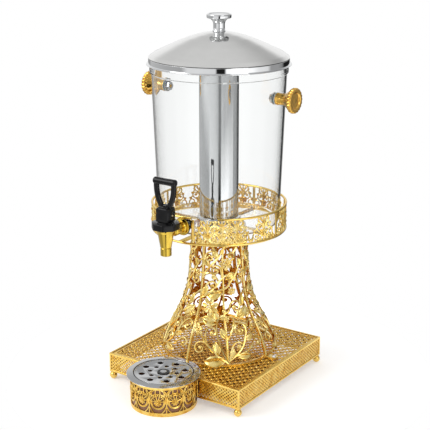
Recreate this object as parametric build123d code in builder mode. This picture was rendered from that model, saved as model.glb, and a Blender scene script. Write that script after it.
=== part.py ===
from build123d import *
import math
import os

os.makedirs("parts", exist_ok=True)

# The drink dispenser stands on a table at z = 0. The tower axis is Z, the tap
# and the drip cup are in front at -Y, and all lengths are in millimetres.

# Base
base_width = 260.0
base_front = 137.0
base_back = 122.0
base_wall_height = 33.5
base_sheet = 1.2
base_rim = 3.0
foot_height = 13.0
foot_ball_radius = 6.4
foot_flat_depth = 0.3
foot_inset = 7.0
foot_neck_radius = 3.0
gusset_size = 16.0
gusset_thickness = 2.0
base_hole_pitch = 34.0
base_hole_bar = 6.0
plate_margin = 4.0
screen_pitch = 19.0
screen_bar = 3.0

# Drip cup, which stands in a notch of the base
cup_offset = 158.3
cup_radius = 53.6
cup_height = 52.0
cup_sheet = 1.2
cup_band = 6.5
cup_light_count = 12
cup_light_share = 0.62
notch_gap = 1.4
liner_gap = 0.5
liner_wall = 1.0
liner_lift = 1.5
rim_radius = 59.7
rim_thickness = 1.2
rim_rise = 2.4
rim_well_radius = 48.6
rim_ledge = 4.0
grate_gap = 0.5
grate_thickness = 1.2
grate_bead = 1.6
grate_outer_hole_radius = 5.0
grate_inner_hole_radius = 3.7
grate_centre_hole_radius = 10.0
grate_outer_circle = 35.7
grate_inner_circle = 22.5

# Tower
tower_foot_radius = 97.2
tower_neck_radius = 45.0
tower_skin = 1.6
panel_recess = 0.6
rib_width = 4.0
rib_depth = 3.0
foot_ring_width = 5.0
foot_ring_height = 2.4
neck_ring_height = 5.0
neck_ring_width = 3.0
tab_reach = 115.5
tab_width = 11.0
tab_screw_circle = 110.0
screw_head_radius = 3.6
screw_head_height = 2.2
screw_head_crown = 2.2
screw_radius = 1.6
screw_length = 7.0
hole_clearance = 0.1

# Bell line of the tower, as shares of the spread and of the height
bell_radius_shares = (0.0, 0.077, 0.2, 0.383, 0.757, 0.92, 1.0)
bell_height_shares = (1.0, 0.705, 0.482, 0.354, 0.176, 0.069, 0.0)

# Openwork of the tower panels. Places are shares of the half width at the foot and of the
# height, and a size is a share of the half width.
stalk_width = 2.8
curl_width = 2.0
curl_turn = 200
curl_shrink_shares = (0.55,)
petal_count = 5
petal_outline_shares = ((0.42, 0.0), (0.95, 0.32), (0.95, 0.68))
stalk_path_shares = (
    ((0.0, -0.02), (0.03, 0.22), (-0.02, 0.45)),
    ((-0.02, 0.44), (-0.05, 0.72), (0.03, 1.02)),
    ((0.0, -0.02), (-0.2, 0.2), (-0.24, 0.46)),
    ((-0.24, 0.45), (-0.2, 0.74), (-0.34, 1.02)),
    ((0.0, 0.02), (0.27, 0.15), (0.42, 0.38)),
    ((0.0, 0.0), (-0.34, 0.1), (-0.57, 0.28)),
    ((0.0, 0.3), (0.19, 0.48), (0.26, 0.72)),
    ((0.26, 0.71), (0.23, 0.86), (0.33, 1.02)),
)
leaf_root_shares = (
    (-0.02, 0.012, 170, 0.58, 0.2),
    (0.03, 0.03, 24, 0.44, 0.15),
    (-0.2, 0.24, 150, 0.36, 0.14),
    (-0.23, 0.46, 168, 0.38, 0.15),
    (-0.03, 0.52, 140, 0.26, 0.11),
    (0.36, 0.28, 50, 0.42, 0.14),
    (0.24, 0.63, 20, 0.3, 0.12),
    (-0.235, 0.83, 155, 0.28, 0.1),
)
curl_root_shares = (
    (-0.38, 0.13, 100, 0.13),
    (0.14, 0.43, 60, 0.12),
)
flower_place_shares = (
    (-0.57, 0.29, 0.18),
    (0.42, 0.4, 0.18),
    (-0.02, 0.46, 0.15),
    (0.26, 0.84, 0.14),
)

# Gallery round the foot of the tank
gallery_gap = 10.5
gallery_wire = 3.8
gallery_bottom = 258.6
gallery_top = 300.7
gallery_gap_angle = 11.0
post_width = 4.5
post_depth = 2.0
filigree_sheet = 1.4
spider_width = 9.0
spider_thickness = 3.0
spider_hub_radius = 15.0

# Gallery openwork: bushy motifs, wide at the foot and narrow at the top. Outline and
# eyes are shares of a motif's width and of the height between the rails.
bush_outline_shares = (
    (0.5, 0.0), (0.5, 0.14), (0.42, 0.3), (0.3, 0.4), (0.34, 0.54),
    (0.24, 0.66), (0.27, 0.84), (0.22, 1.0),
)
bush_eye_shares = (
    (-0.27, 0.2, 0.13), (0.27, 0.2, 0.13), (0.0, 0.26, 0.15),
    (-0.13, 0.56, 0.1), (0.13, 0.56, 0.1), (0.0, 0.82, 0.12),
)
bush_eye_sides = 5
bush_width_angle = 24.0

# Tank, ice tube and the stud that clamps them
spacer_height = 8.0
spacer_radius = 12.5
tank_foot_radius = 99.5
tank_mouth_radius = 109.2
tank_height = 268.4
tank_wall = 3.0
tank_floor = 4.0
tank_corner = 6.0
corner_share = 0.3
tank_collar_step = 1.8
tank_collar_height = 22.0
tube_radius = 32.0
tube_wall = 1.0
tube_height = 242.0
tube_flange_radius = 36.0
tube_flange_thickness = 2.0
seal_thickness = 1.0
stud_radius = 5.0
cap_nut_radius = 8.7
cap_nut_height = 13.0
cap_nut_hex_height = 6.5
dome_shares = (0.9, 0.5)

# Lid
lid_flange_width = 3.5
lid_band_gap = 1.5
lid_band_height = 11.0
lid_overlap = 9.2
lid_sheet = 0.8
lid_flange_thickness = 1.4
lid_rise = 40.6
lid_profile_shares = (
    (1.0, 0.0), (0.988, 0.052), (0.951, 0.131), (0.444, 0.764), (0.222, 0.948), (0.084, 1.0),
)
lid_seat_width = 5.0
lid_seat_clearance = 0.05
knob_disc_radius = 19.6
knob_disc_thickness = 5.2
knob_dish = 1.4
knob_stem_radius = 9.4
knob_flare_radius = 11.4
knob_height = 29.2
knob_screw_radius = 2.5
knob_screw_head_radius = 5.0
knob_screw_head_height = 3.0

# Carrying knobs at the sides of the tank
carry_drop = 53.8
carry_stem_radius = 9.5
carry_reach = 20.0
carry_disc_radius = 20.0
carry_disc_thickness = 14.0
carry_lobe_count = 20
carry_lobe_depth = 1.8
carry_grip_width = 6.0
carry_dish_radius = 12.5
carry_dish_depth = 3.0
carry_screw_radius = 3.0
carry_nut_radius = 7.5
carry_nut_height = 5.0
gasket_thickness = 1.5
wall_seat_gap = 0.4

# Tap
tap_reach = 47.5
tap_rise = 14.9
shank_radius = 7.8
shank_bore_radius = 4.5
shank_nut_radius = 10.2
shank_nut_height = 7.0
shank_tail = 3.0
washer_radius = 14.5
washer_thickness = 3.2
spout_drop = 36.0
spout_lip_radius = 8.7
spout_lip_height = 13.0
spout_bore_radius = 6.5
body_rise = 8.0
body_top_radius = 14.1
body_neck_radius = 12.0
body_neck_height = 7.2
chamber_radius = 9.5
chamber_drop = 7.0
valve_seat_radius = 5.0
valve_seat_depth = 5.0
bonnet_radius = 22.5
bonnet_height = 11.5
bonnet_cavity_height = 8.0
bonnet_sides = 8
bonnet_collar_radius = 13.0
bonnet_bevel = 1.2
stem_radius = 3.5
stem_clearance = 0.5
plug_radius = 5.6
plug_height = 4.5
heel_width = 27.0
heel_cam_radius = 10.8
heel_cam_offset = 6.0
heel_gap = 0.3
heel_top_rise = 10.4
heel_bevel = 2.0
heel_slot_clearance = 0.7
handle_pin_radius = 1.5
pin_clearance = 0.05
handle_swing = 40.0
loop_height = 54.4
loop_bar_radius = 4.5
loop_bar_length = 37.0
loop_leg_width = 6.6
loop_depth = 8.0
loop_top_gap = 21.5
loop_bottom_gap = 9.0

# One overrun serves every cut that passes through a face
overrun = 5.0

# Levels and places that follow from the sizes above
base_top = foot_height + base_wall_height
foot_centre_level = foot_ball_radius - foot_flat_depth
notch_radius = cup_radius + notch_gap
spider_bottom = gallery_bottom - spider_thickness / 2
spider_top = spider_bottom + spider_thickness
tower_height = spider_bottom - base_top
tank_bottom = spider_top + spacer_height
tank_floor_top = tank_bottom + tank_floor
tank_top = tank_bottom + tank_height
tube_bottom = tank_floor_top + seal_thickness
lid_bottom = tank_top - lid_overlap
lid_band_top = lid_bottom + lid_band_height
lid_apex = lid_band_top + lid_rise
gallery_radius = tank_foot_radius + gallery_gap
tank_collar_radius = tank_mouth_radius + tank_collar_step
lid_band_radius = tank_collar_radius + lid_band_gap
lid_flange_radius = lid_band_radius + lid_flange_width
carry_level = tank_top - carry_drop
tap_offset = tank_foot_radius + tap_reach
tap_level = tank_bottom + tap_rise
spout_lip_level = tap_level - spout_drop
body_top_level = tap_level + body_rise
chamber_floor_level = tap_level - chamber_drop
bonnet_top = body_top_level + bonnet_height
pin_level = bonnet_top + heel_gap + heel_cam_radius
heel_top = pin_level + heel_top_rise
loop_bar_level = pin_level + loop_height


def save(part, name):
    """Label a finished piece and write it to its own file."""
    part.label = name
    export_step(part, "parts/" + name + ".step")


def facing(angle, radius=0):
    """Upright plane that faces outwards at an angle round the tower.

    The angle is counted from the front towards +X. Local x runs along the
    tangent and local y is upwards.
    """
    turn = math.radians(angle)
    outward = (math.sin(turn), -math.cos(turn), 0)
    tangent = (math.cos(turn), math.sin(turn), 0)
    origin = (radius * outward[0], radius * outward[1], 0)
    return Plane(origin=origin, x_dir=tangent, z_dir=outward)


def section(angle):
    """Upright plane through the tower axis: local x is the radius and local y is upwards."""
    turn = math.radians(angle)
    outward = (math.sin(turn), -math.cos(turn), 0)
    across = (-math.cos(turn), -math.sin(turn), 0)
    return Plane(origin=(0, 0, 0), x_dir=outward, z_dir=across)


def tank_radius(level):
    """Outer radius of the tapered tank wall at a level."""
    share = (level - tank_bottom) / tank_height
    return tank_foot_radius + share * (tank_mouth_radius - tank_foot_radius)


# Unit shapes of the openwork, drawn about their own root
def leaf(length, width):
    """Pointed leaf that grows from the origin along +X."""
    with BuildSketch(mode=Mode.PRIVATE) as shape:
        with BuildLine():
            ThreePointArc((0, 0), (length / 2, width / 2), (length, 0))
            ThreePointArc((length, 0), (length / 2, -width / 2), (0, 0))
        make_face()
    return shape.sketch


def stem(start, through, end, width):
    """Curved stalk of even width through three points."""
    with BuildSketch(mode=Mode.PRIVATE) as shape:
        with BuildLine():
            ThreePointArc(start, through, end)
        trace(line_width=width)
    return shape.sketch


def curl(radius, width):
    """Tendril that leaves the origin along +X and winds in with three tangent arcs."""
    with BuildSketch(mode=Mode.PRIVATE) as shape:
        with BuildLine():
            bend = JernArc((0, 0), (1, 0), radius, curl_turn)
            for shrink in curl_shrink_shares:
                bend = JernArc(bend @ 1, bend % 1, radius * shrink, curl_turn)
        trace(line_width=width)
    return shape.sketch


# Base frame: square rims, corner posts and the gussets that carry the feet
def base_outline():
    """Plan of the base: a rectangle with a round notch in its front edge."""
    with BuildSketch(mode=Mode.PRIVATE) as plan:
        with Locations((0, (base_back - base_front) / 2)):
            Rectangle(base_width, base_front + base_back)
        with Locations((0, -cup_offset)):
            Circle(notch_radius, mode=Mode.SUBTRACT)
    return plan.sketch


def base_inset(amount):
    """The same plan drawn in by an amount on every side."""
    with BuildSketch(mode=Mode.PRIVATE) as plan:
        with Locations((0, (base_back - base_front) / 2)):
            Rectangle(base_width - 2 * amount, base_front + base_back - 2 * amount)
        with Locations((0, -cup_offset)):
            Circle(notch_radius + amount, mode=Mode.SUBTRACT)
    return plan.sketch


def corner_spots(inset):
    """Four points that lie inside the corners of the base by an inset."""
    return [
        (side * (base_width / 2 - inset), end)
        for side in (-1, 1)
        for end in (-base_front + inset, base_back - inset)
    ]


with BuildPart() as base_frame:
    for level in (foot_height, base_top - base_rim):
        with BuildSketch(Plane.XY.offset(level)):
            add(base_outline())
            add(base_inset(base_rim), mode=Mode.SUBTRACT)
        extrude(amount=base_rim)
    with BuildSketch(Plane.XY.offset(foot_height)):
        with Locations(*corner_spots(base_rim / 2)):
            Rectangle(base_rim, base_rim)
    extrude(amount=base_wall_height)
    with BuildSketch(Plane.XY.offset(foot_height)):
        with Locations(*corner_spots(gusset_size / 2)):
            Rectangle(gusset_size, gusset_size)
    extrude(amount=gusset_thickness)
save(base_frame.part, "base_frame")

# Ball feet: a turned ball with a flat ground under it and a short neck above
with BuildPart() as ball_feet:
    for x, y in corner_spots(foot_inset):
        with BuildSketch(Plane.XZ.offset(-y)):
            with Locations((x, foot_centre_level)):
                Circle(foot_ball_radius)
            with Locations((x, foot_centre_level)):
                Rectangle(2 * foot_neck_radius, foot_height - foot_centre_level,
                          align=(Align.CENTER, Align.MIN))
            with Locations((x, 0)):
                Rectangle(foot_height, foot_height, align=(Align.CENTER, Align.MAX), mode=Mode.SUBTRACT)
                Rectangle(foot_height, 2 * foot_height, align=(Align.MAX, Align.CENTER),
                          mode=Mode.SUBTRACT)
        revolve(axis=Axis((x, y, 0), (0, 0, 1)))
save(ball_feet.part, "ball_feet")

# Openwork plate on the base: staggered diamond lights between crossing bars
plate_bottom = base_top - base_rim / 2 - base_sheet / 2
hole_side = base_hole_pitch / math.sqrt(2) - base_hole_bar
with BuildPart() as base_top_plate:
    with BuildSketch(Plane.XY.offset(plate_bottom)):
        add(base_inset(base_rim))
    extrude(amount=base_sheet)
    with BuildSketch(Plane.XY.offset(plate_bottom)) as lights:
        columns = int(base_width / base_hole_pitch) + 1
        rows = int((base_front + base_back) / base_hole_pitch) + 1
        with Locations((0, (base_back - base_front) / 2)):
            with GridLocations(base_hole_pitch, base_hole_pitch, columns, rows):
                Rectangle(hole_side, hole_side, rotation=45)
            with GridLocations(base_hole_pitch, base_hole_pitch, columns - 1, rows - 1):
                Rectangle(hole_side, hole_side, rotation=45)
        add(base_inset(base_rim + plate_margin), mode=Mode.INTERSECT)
        for angle in (90, 180, 270):
            turn = math.radians(angle)
            with Locations((tab_screw_circle * math.sin(turn), -tab_screw_circle * math.cos(turn))):
                Circle(tab_width / 2, mode=Mode.SUBTRACT)
    extrude(amount=base_sheet, mode=Mode.SUBTRACT)
    with BuildSketch(Plane.XY.offset(plate_bottom)):
        for angle in (90, 180, 270):
            turn = math.radians(angle)
            with Locations((tab_screw_circle * math.sin(turn), -tab_screw_circle * math.cos(turn))):
                Circle(screw_radius + hole_clearance)
    extrude(amount=base_sheet, mode=Mode.SUBTRACT)
save(base_top_plate.part, "base_top_plate")


# Lattice screens that close the sides of the base
def lattice_screen(plane, width, height):
    """Flat sheet with one row of diamond lights, standing on a plane's x axis."""
    light_height = height - 2 * screen_bar
    count = int((width - screen_bar) / screen_pitch)
    with BuildPart(mode=Mode.PRIVATE) as screen:
        with BuildSketch(plane):
            with Locations((0, height / 2)):
                Rectangle(width, height)
                with GridLocations(screen_pitch, height, count, 1):
                    with BuildLine(mode=Mode.PRIVATE) as rim:
                        Polyline((-screen_pitch / 2 + screen_bar / 2, 0), (0, light_height / 2),
                                 (screen_pitch / 2 - screen_bar / 2, 0), (0, -light_height / 2),
                                 close=True)
                    add(make_face(rim.edges(), mode=Mode.PRIVATE), mode=Mode.SUBTRACT)
        extrude(amount=-base_sheet)
    return screen.part


screen_height = base_wall_height - 2 * base_rim
screen_level = foot_height + base_rim
screen_inset = (base_rim - base_sheet) / 2
notch_half_width = math.sqrt(notch_radius ** 2 - (cup_offset - base_front) ** 2)
front_screen_width = base_width / 2 - base_rim - notch_half_width - base_rim
front_screen_x = notch_half_width + base_rim + front_screen_width / 2
side_screen_width = base_front + base_back - 2 * base_rim
screen_places = {
    "base_screen_front_left": (-front_screen_x, -base_front + screen_inset, 0, front_screen_width),
    "base_screen_front_right": (front_screen_x, -base_front + screen_inset, 0, front_screen_width),
    "base_screen_right": (base_width / 2 - screen_inset, (base_back - base_front) / 2, 90,
                          side_screen_width),
    "base_screen_back": (0, base_back - screen_inset, 180, base_width - 2 * base_rim),
    "base_screen_left": (-base_width / 2 + screen_inset, (base_back - base_front) / 2, 270,
                         side_screen_width),
}
for name, (x, y, angle, width) in screen_places.items():
    turn = math.radians(angle)
    place = Plane(origin=(x, y, screen_level), x_dir=(math.cos(turn), math.sin(turn), 0),
                  z_dir=(math.sin(turn), -math.cos(turn), 0))
    save(lattice_screen(place, width, screen_height), name)

# Curved band that lines the notch behind the drip cup
with BuildPart() as base_notch_band:
    with BuildSketch(Plane.XY.offset(screen_level)):
        with Locations((0, -cup_offset)):
            Circle(notch_radius + screen_inset + base_sheet)
            Circle(notch_radius + screen_inset, mode=Mode.SUBTRACT)
        with Locations((0, -base_front + base_rim)):
            Rectangle(base_width, base_front, align=(Align.CENTER, Align.MIN), mode=Mode.INTERSECT)
    extrude(amount=screen_height)
save(base_notch_band.part, "base_notch_band")

# Tower: a bell of four openwork panels between four ribs
bell_points = [
    (tower_neck_radius + grow * (tower_foot_radius - tower_neck_radius), base_top + rise * tower_height)
    for grow, rise in zip(bell_radius_shares, bell_height_shares)
]
panel_bottom = base_top + foot_ring_height
panel_top = spider_bottom - neck_ring_height


def bell_band(depth_out, depth_in, bottom, top):
    """Section of the bell wall between two depths under its outer line."""
    outer = [(r - depth_out, z) for r, z in bell_points]
    inner = [(r - depth_in, z) for r, z in reversed(bell_points)]
    with BuildSketch(mode=Mode.PRIVATE) as band:
        with BuildLine():
            Polyline(*outer, *inner, close=True)
        make_face()
        with Locations((0, bottom)):
            Rectangle(tower_foot_radius * 2, top - bottom, align=(Align.CENTER, Align.MIN),
                      mode=Mode.INTERSECT)
    return band.sketch


with BuildPart() as tower_foot_ring:
    with BuildSketch(Plane.XY.offset(base_top - base_rim / 2 + base_sheet / 2)):
        Circle(tower_foot_radius)
        for angle in (90, 180, 270):
            turn = math.radians(angle)
            with Locations((tab_reach / 2 * math.sin(turn), -tab_reach / 2 * math.cos(turn))):
                Rectangle(tab_reach, tab_width, rotation=angle - 90)
        Circle(tower_foot_radius - foot_ring_width, mode=Mode.SUBTRACT)
        for angle in (90, 180, 270):
            turn = math.radians(angle)
            with Locations((tab_screw_circle * math.sin(turn), -tab_screw_circle * math.cos(turn))):
                Circle(screw_radius + hole_clearance, mode=Mode.SUBTRACT)
    extrude(amount=foot_ring_height + (base_rim - base_sheet) / 2)
save(tower_foot_ring.part, "tower_foot_ring")

with BuildPart() as foot_tab_screws:
    for angle in (90, 180, 270):
        with BuildSketch(section(angle)):
            with BuildLine():
                Polyline((tab_screw_circle, panel_bottom + screw_head_height),
                         (tab_screw_circle, panel_bottom - screw_length),
                         (tab_screw_circle + screw_radius, panel_bottom - screw_length),
                         (tab_screw_circle + screw_radius, panel_bottom),
                         (tab_screw_circle + screw_head_radius, panel_bottom),
                         (tab_screw_circle + screw_head_crown, panel_bottom + screw_head_height),
                         close=True)
            make_face()
        turn = math.radians(angle)
        spot = (tab_screw_circle * math.sin(turn), -tab_screw_circle * math.cos(turn), 0)
        revolve(axis=Axis(spot, (0, 0, 1)))
save(foot_tab_screws.part, "foot_tab_screws")

# Ribs and the collar at the neck, welded into one skeleton
with BuildPart() as tower_ribs:
    for angle in (0, 90, 180, 270):
        with BuildSketch(section(angle)):
            add(bell_band(0, rib_depth, panel_bottom, panel_top))
        extrude(amount=rib_width / 2, both=True)
    with BuildSketch(Plane.XY.offset(panel_top)):
        Circle(tower_neck_radius)
        Circle(tower_neck_radius - neck_ring_width, mode=Mode.SUBTRACT)
    extrude(amount=neck_ring_height)
save(tower_ribs.part, "tower_ribs")

# Openwork panels: one bouquet cut out of each quarter of the bell
panel_half_width = tower_foot_radius * math.sin(math.radians(45))
panel_height = panel_top - panel_bottom


def at_share(across, up):
    """Point of a tower panel given by its two shares."""
    return (across * panel_half_width, panel_bottom + up * panel_height)


def flower(radius):
    """Open flower with blunt petals: each petal has two tips between deep notches."""
    points = []
    for petal in range(petal_count):
        for reach_share, turn_share in petal_outline_shares:
            angle = 2 * math.pi * (petal + turn_share) / petal_count
            points.append((radius * reach_share * math.cos(angle), radius * reach_share * math.sin(angle)))
    with BuildSketch(mode=Mode.PRIVATE) as shape:
        with BuildLine():
            Polyline(*points, close=True)
        make_face()
    return shape.sketch


def bouquet():
    """Stalks, leaves, curls and flowers of one tower panel, flattened."""
    with BuildSketch(mode=Mode.PRIVATE) as art:
        for start, through, end in stalk_path_shares:
            add(stem(at_share(*start), at_share(*through), at_share(*end), stalk_width))
        for across, up, turn, length, width in leaf_root_shares:
            with Locations(at_share(across, up)):
                add(leaf(length * panel_half_width, width * panel_half_width), rotation=turn)
        for across, up, turn, size in curl_root_shares:
            with Locations(at_share(across, up)):
                add(curl(size * panel_half_width, curl_width), rotation=turn)
        for across, up, size in flower_place_shares:
            with Locations(at_share(across, up)):
                add(flower(size * panel_half_width))
    return art.sketch


panel_angles = {
    "tower_panel_front_right": 45,
    "tower_panel_back_right": 135,
    "tower_panel_back_left": 225,
    "tower_panel_front_left": 315,
}
panel_art = bouquet()
for name, angle in panel_angles.items():
    with BuildPart() as tower_panel:
        with BuildSketch(section(angle - 45)):
            add(bell_band(panel_recess, panel_recess + tower_skin, panel_bottom, panel_top))
        revolve(axis=Axis.Z, revolution_arc=90)
        with BuildSketch(facing(angle)):
            add(panel_art)
        extrude(amount=tower_foot_radius, mode=Mode.INTERSECT)
        for side in (-45, 45):
            with BuildSketch(section(angle + side)):
                Rectangle(2 * tower_foot_radius, 2 * spider_bottom)
            extrude(amount=rib_width / 2, both=True, mode=Mode.SUBTRACT)
    save(tower_panel.part, name)

# Gallery rails and the bars that join them. The top rail is open where the tap passes.
rail_gap = gallery_gap_angle
with BuildPart() as gallery_bottom_rail:
    with BuildSketch(Plane.XY.offset(gallery_bottom - gallery_wire / 2)):
        Circle(gallery_radius + gallery_wire / 2)
        Circle(gallery_radius - gallery_wire / 2, mode=Mode.SUBTRACT)
    extrude(amount=gallery_wire)
save(gallery_bottom_rail.part, "gallery_bottom_rail")

with BuildPart() as gallery_top_rail:
    with BuildSketch(section(rail_gap)):
        with Locations((gallery_radius, gallery_top)):
            Rectangle(gallery_wire, gallery_wire)
    revolve(axis=Axis.Z, revolution_arc=360 - 2 * rail_gap)
save(gallery_top_rail.part, "gallery_top_rail")

lattice_bottom = gallery_bottom + gallery_wire / 2
lattice_top = gallery_top - gallery_wire / 2
lattice_height = lattice_top - lattice_bottom
end_post_angle = rail_gap + math.degrees(post_width / 2 / gallery_radius)
with BuildPart() as gallery_posts:
    for angle in (end_post_angle, 90, 180, 270, 360 - end_post_angle):
        with BuildSketch(facing(angle, gallery_radius - post_depth / 2)):
            with Locations((0, lattice_bottom)):
                Rectangle(post_width, lattice_height, align=(Align.CENTER, Align.MIN))
        extrude(amount=post_depth)
save(gallery_posts.part, "gallery_posts")

# Gallery openwork: a row of bushy motifs between the posts
bush_half_angle = bush_width_angle / 2
bush_places = {
    "gallery_filigree_front_right": (26.0, 48.5, 76.0),
    "gallery_filigree_back_right": (104.0, 128.0, 151.0, 167.2),
    "gallery_filigree_back_left": (192.8, 209.0, 232.0, 256.0),
    "gallery_filigree_front_left": (284.0, 311.5, 334.0),
}


def bush(width):
    """One upright motif with its eyes cut through."""
    right = [(width * x, lattice_bottom + lattice_height * y) for x, y in bush_outline_shares]
    left = [(-x, y) for x, y in reversed(right)]
    with BuildSketch(mode=Mode.PRIVATE) as shape:
        with BuildLine():
            Polyline(*right, *left, close=True)
        make_face()
        for x, y, size in bush_eye_shares:
            with Locations((width * x, lattice_bottom + lattice_height * y)):
                RegularPolygon(lattice_height * size, bush_eye_sides, mode=Mode.SUBTRACT)
    return shape.sketch


bush_width = 2 * gallery_radius * math.sin(math.radians(bush_half_angle))
for name, angles in bush_places.items():
    with BuildPart() as gallery_filigree:
        for angle in angles:
            with BuildSketch(facing(angle)):
                add(bush(bush_width))
            extrude(amount=gallery_radius + overrun)
        with BuildSketch(Plane.XY.offset(lattice_bottom)):
            Circle(gallery_radius + filigree_sheet / 2)
            Circle(gallery_radius - filigree_sheet / 2, mode=Mode.SUBTRACT)
            for angle in (end_post_angle, 90, 180, 270, 360 - end_post_angle):
                turn = math.radians(angle)
                with Locations((gallery_radius * math.sin(turn), -gallery_radius * math.cos(turn))):
                    Rectangle(post_width, 2 * post_depth, rotation=angle, mode=Mode.SUBTRACT)
        extrude(amount=lattice_height, mode=Mode.INTERSECT)
    save(gallery_filigree.part, name)

# Spider: four flat arms from the hub to the bottom rail, with the hole for the stud
with BuildPart() as support_spider:
    with BuildSketch(Plane.XY.offset(spider_bottom)):
        reach = 2 * gallery_radius
        Rectangle(reach, spider_width)
        Rectangle(spider_width, reach)
        Circle(gallery_radius - gallery_wire / 2, mode=Mode.INTERSECT)
        Circle(spider_hub_radius)
        Circle(stud_radius + hole_clearance, mode=Mode.SUBTRACT)
    extrude(amount=spider_thickness)
save(support_spider.part, "support_spider")

# Stud hardware under the tank
with BuildPart() as tank_spacer:
    with BuildSketch(Plane.XY.offset(spider_top)):
        Circle(spacer_radius)
        Circle(stud_radius + hole_clearance, mode=Mode.SUBTRACT)
    extrude(amount=spacer_height)
save(tank_spacer.part, "tank_spacer")

nut_bottom = spider_bottom - cap_nut_height
dome_height = cap_nut_height - cap_nut_hex_height
stud_end = nut_bottom + dome_height / 2
with BuildPart() as stud_cap_nut:
    with BuildSketch(Plane.XY.offset(spider_bottom - cap_nut_hex_height)):
        RegularPolygon(cap_nut_radius, 6)
    extrude(amount=cap_nut_hex_height)
    with BuildSketch(Plane.XZ):
        with BuildLine():
            dome_rim = cap_nut_radius * math.cos(math.radians(30))
            dome_base = spider_bottom - cap_nut_hex_height
            Polyline((dome_rim, dome_base),
                     (dome_rim * dome_shares[0], dome_base - dome_height * dome_shares[1]),
                     (dome_rim * dome_shares[1], dome_base - dome_height * dome_shares[0]),
                     (0, nut_bottom), (0, dome_base), close=True)
        make_face()
    revolve(axis=Axis.Z)
    with BuildSketch(Plane.XY.offset(spider_bottom)):
        Circle(stud_radius + hole_clearance)
    extrude(amount=-(spider_bottom - stud_end + hole_clearance), mode=Mode.SUBTRACT)
save(stud_cap_nut.part, "stud_cap_nut")

# Tank: a tapered clear shell with a flat floor and a thick collar at the mouth
shank_wall_radius = tank_radius(tap_level)
carry_wall_radius = tank_radius(carry_level)
with BuildPart() as tank:
    with BuildSketch(Plane.XZ):
        with BuildLine():
            Polyline((0, tank_bottom), (tank_foot_radius - tank_corner, tank_bottom),
                     (tank_foot_radius - tank_corner * corner_share,
                      tank_bottom + tank_corner * corner_share),
                     (tank_radius(tank_bottom + tank_corner), tank_bottom + tank_corner),
                     (tank_mouth_radius, tank_top), (0, tank_top), close=True)
        make_face()
    revolve(axis=Axis.Z)
    with BuildSketch(Plane.XY.offset(tank_top - tank_collar_height)):
        Circle(tank_collar_radius)
    extrude(amount=tank_collar_height)
    with BuildSketch(Plane.XZ):
        with BuildLine():
            Polyline((0, tank_floor_top), (tank_radius(tank_floor_top) - tank_wall, tank_floor_top),
                     (tank_radius(tank_top) - tank_wall, tank_top), (0, tank_top), close=True)
        make_face()
    revolve(axis=Axis.Z, mode=Mode.SUBTRACT)
    with BuildSketch(Plane.XY.offset(tank_bottom)):
        Circle(stud_radius + hole_clearance)
    extrude(amount=tank_floor, mode=Mode.SUBTRACT)
    with BuildSketch(Plane.XZ):
        with Locations((0, tap_level)):
            Circle(shank_radius + hole_clearance)
    extrude(amount=tank_mouth_radius, mode=Mode.SUBTRACT)
    with BuildSketch(Plane.YZ):
        with Locations((0, carry_level)):
            Circle(carry_screw_radius + hole_clearance)
    extrude(amount=tank_mouth_radius + overrun, both=True, mode=Mode.SUBTRACT)
save(tank.part, "tank")

# Ice tube: a steel tube closed below, with a flange and the stud that holds the tank down
with BuildPart() as ice_tube:
    with BuildSketch(Plane.XZ):
        with BuildLine():
            Polyline((0, stud_end), (stud_radius, stud_end), (stud_radius, tube_bottom),
                     (tube_flange_radius, tube_bottom),
                     (tube_flange_radius, tube_bottom + tube_flange_thickness),
                     (tube_radius, tube_bottom + tube_flange_thickness),
                     (tube_radius, tube_bottom + tube_height),
                     (tube_radius - tube_wall, tube_bottom + tube_height),
                     (tube_radius - tube_wall, tube_bottom + tube_flange_thickness),
                     (0, tube_bottom + tube_flange_thickness), close=True)
        make_face()
    revolve(axis=Axis.Z)
save(ice_tube.part, "ice_tube")

with BuildPart() as ice_tube_seal:
    with BuildSketch(Plane.XY.offset(tank_floor_top)):
        Circle(tube_flange_radius)
        Circle(tube_flange_radius / 2, mode=Mode.SUBTRACT)
    extrude(amount=seal_thickness)
save(ice_tube_seal.part, "ice_tube_seal")

# Lid: a pressed shell with a flange, an upright band, a rounded shoulder and a crown
knob_bore_radius = knob_screw_radius + hole_clearance


def lid_line(sheet):
    """Line of the lid from the band's foot to the flat under the knob, below a sheet's thickness."""
    width = lid_band_radius - sheet
    line = [(width, lid_bottom)]
    for reach_share, rise_share in lid_profile_shares:
        line.append((width * reach_share, lid_band_top + lid_rise * rise_share - sheet))
    return line + [(0, lid_apex - sheet)]


with BuildPart() as lid_shell:
    with BuildSketch(Plane.XZ):
        with BuildLine():
            Polyline(*lid_line(0), *reversed(lid_line(lid_sheet)), close=True)
        make_face()
    revolve(axis=Axis.Z)
    with BuildSketch(Plane.XY.offset(lid_bottom)):
        Circle(lid_flange_radius)
        Circle(lid_band_radius - lid_sheet, mode=Mode.SUBTRACT)
    extrude(amount=lid_flange_thickness)
    with BuildSketch(Plane.XY.offset(lid_apex - overrun)):
        Circle(knob_bore_radius)
    extrude(amount=2 * overrun, mode=Mode.SUBTRACT)
save(lid_shell.part, "lid_shell")

# Ring inside the band, by which the lid rests on the tank's mouth
with BuildPart() as lid_seat_ring:
    with BuildSketch(Plane.XY.offset(tank_top + lid_seat_clearance)):
        Circle(lid_band_radius - lid_sheet)
        Circle(lid_band_radius - lid_sheet - lid_seat_width, mode=Mode.SUBTRACT)
    extrude(amount=lid_sheet)
save(lid_seat_ring.part, "lid_seat_ring")

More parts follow.
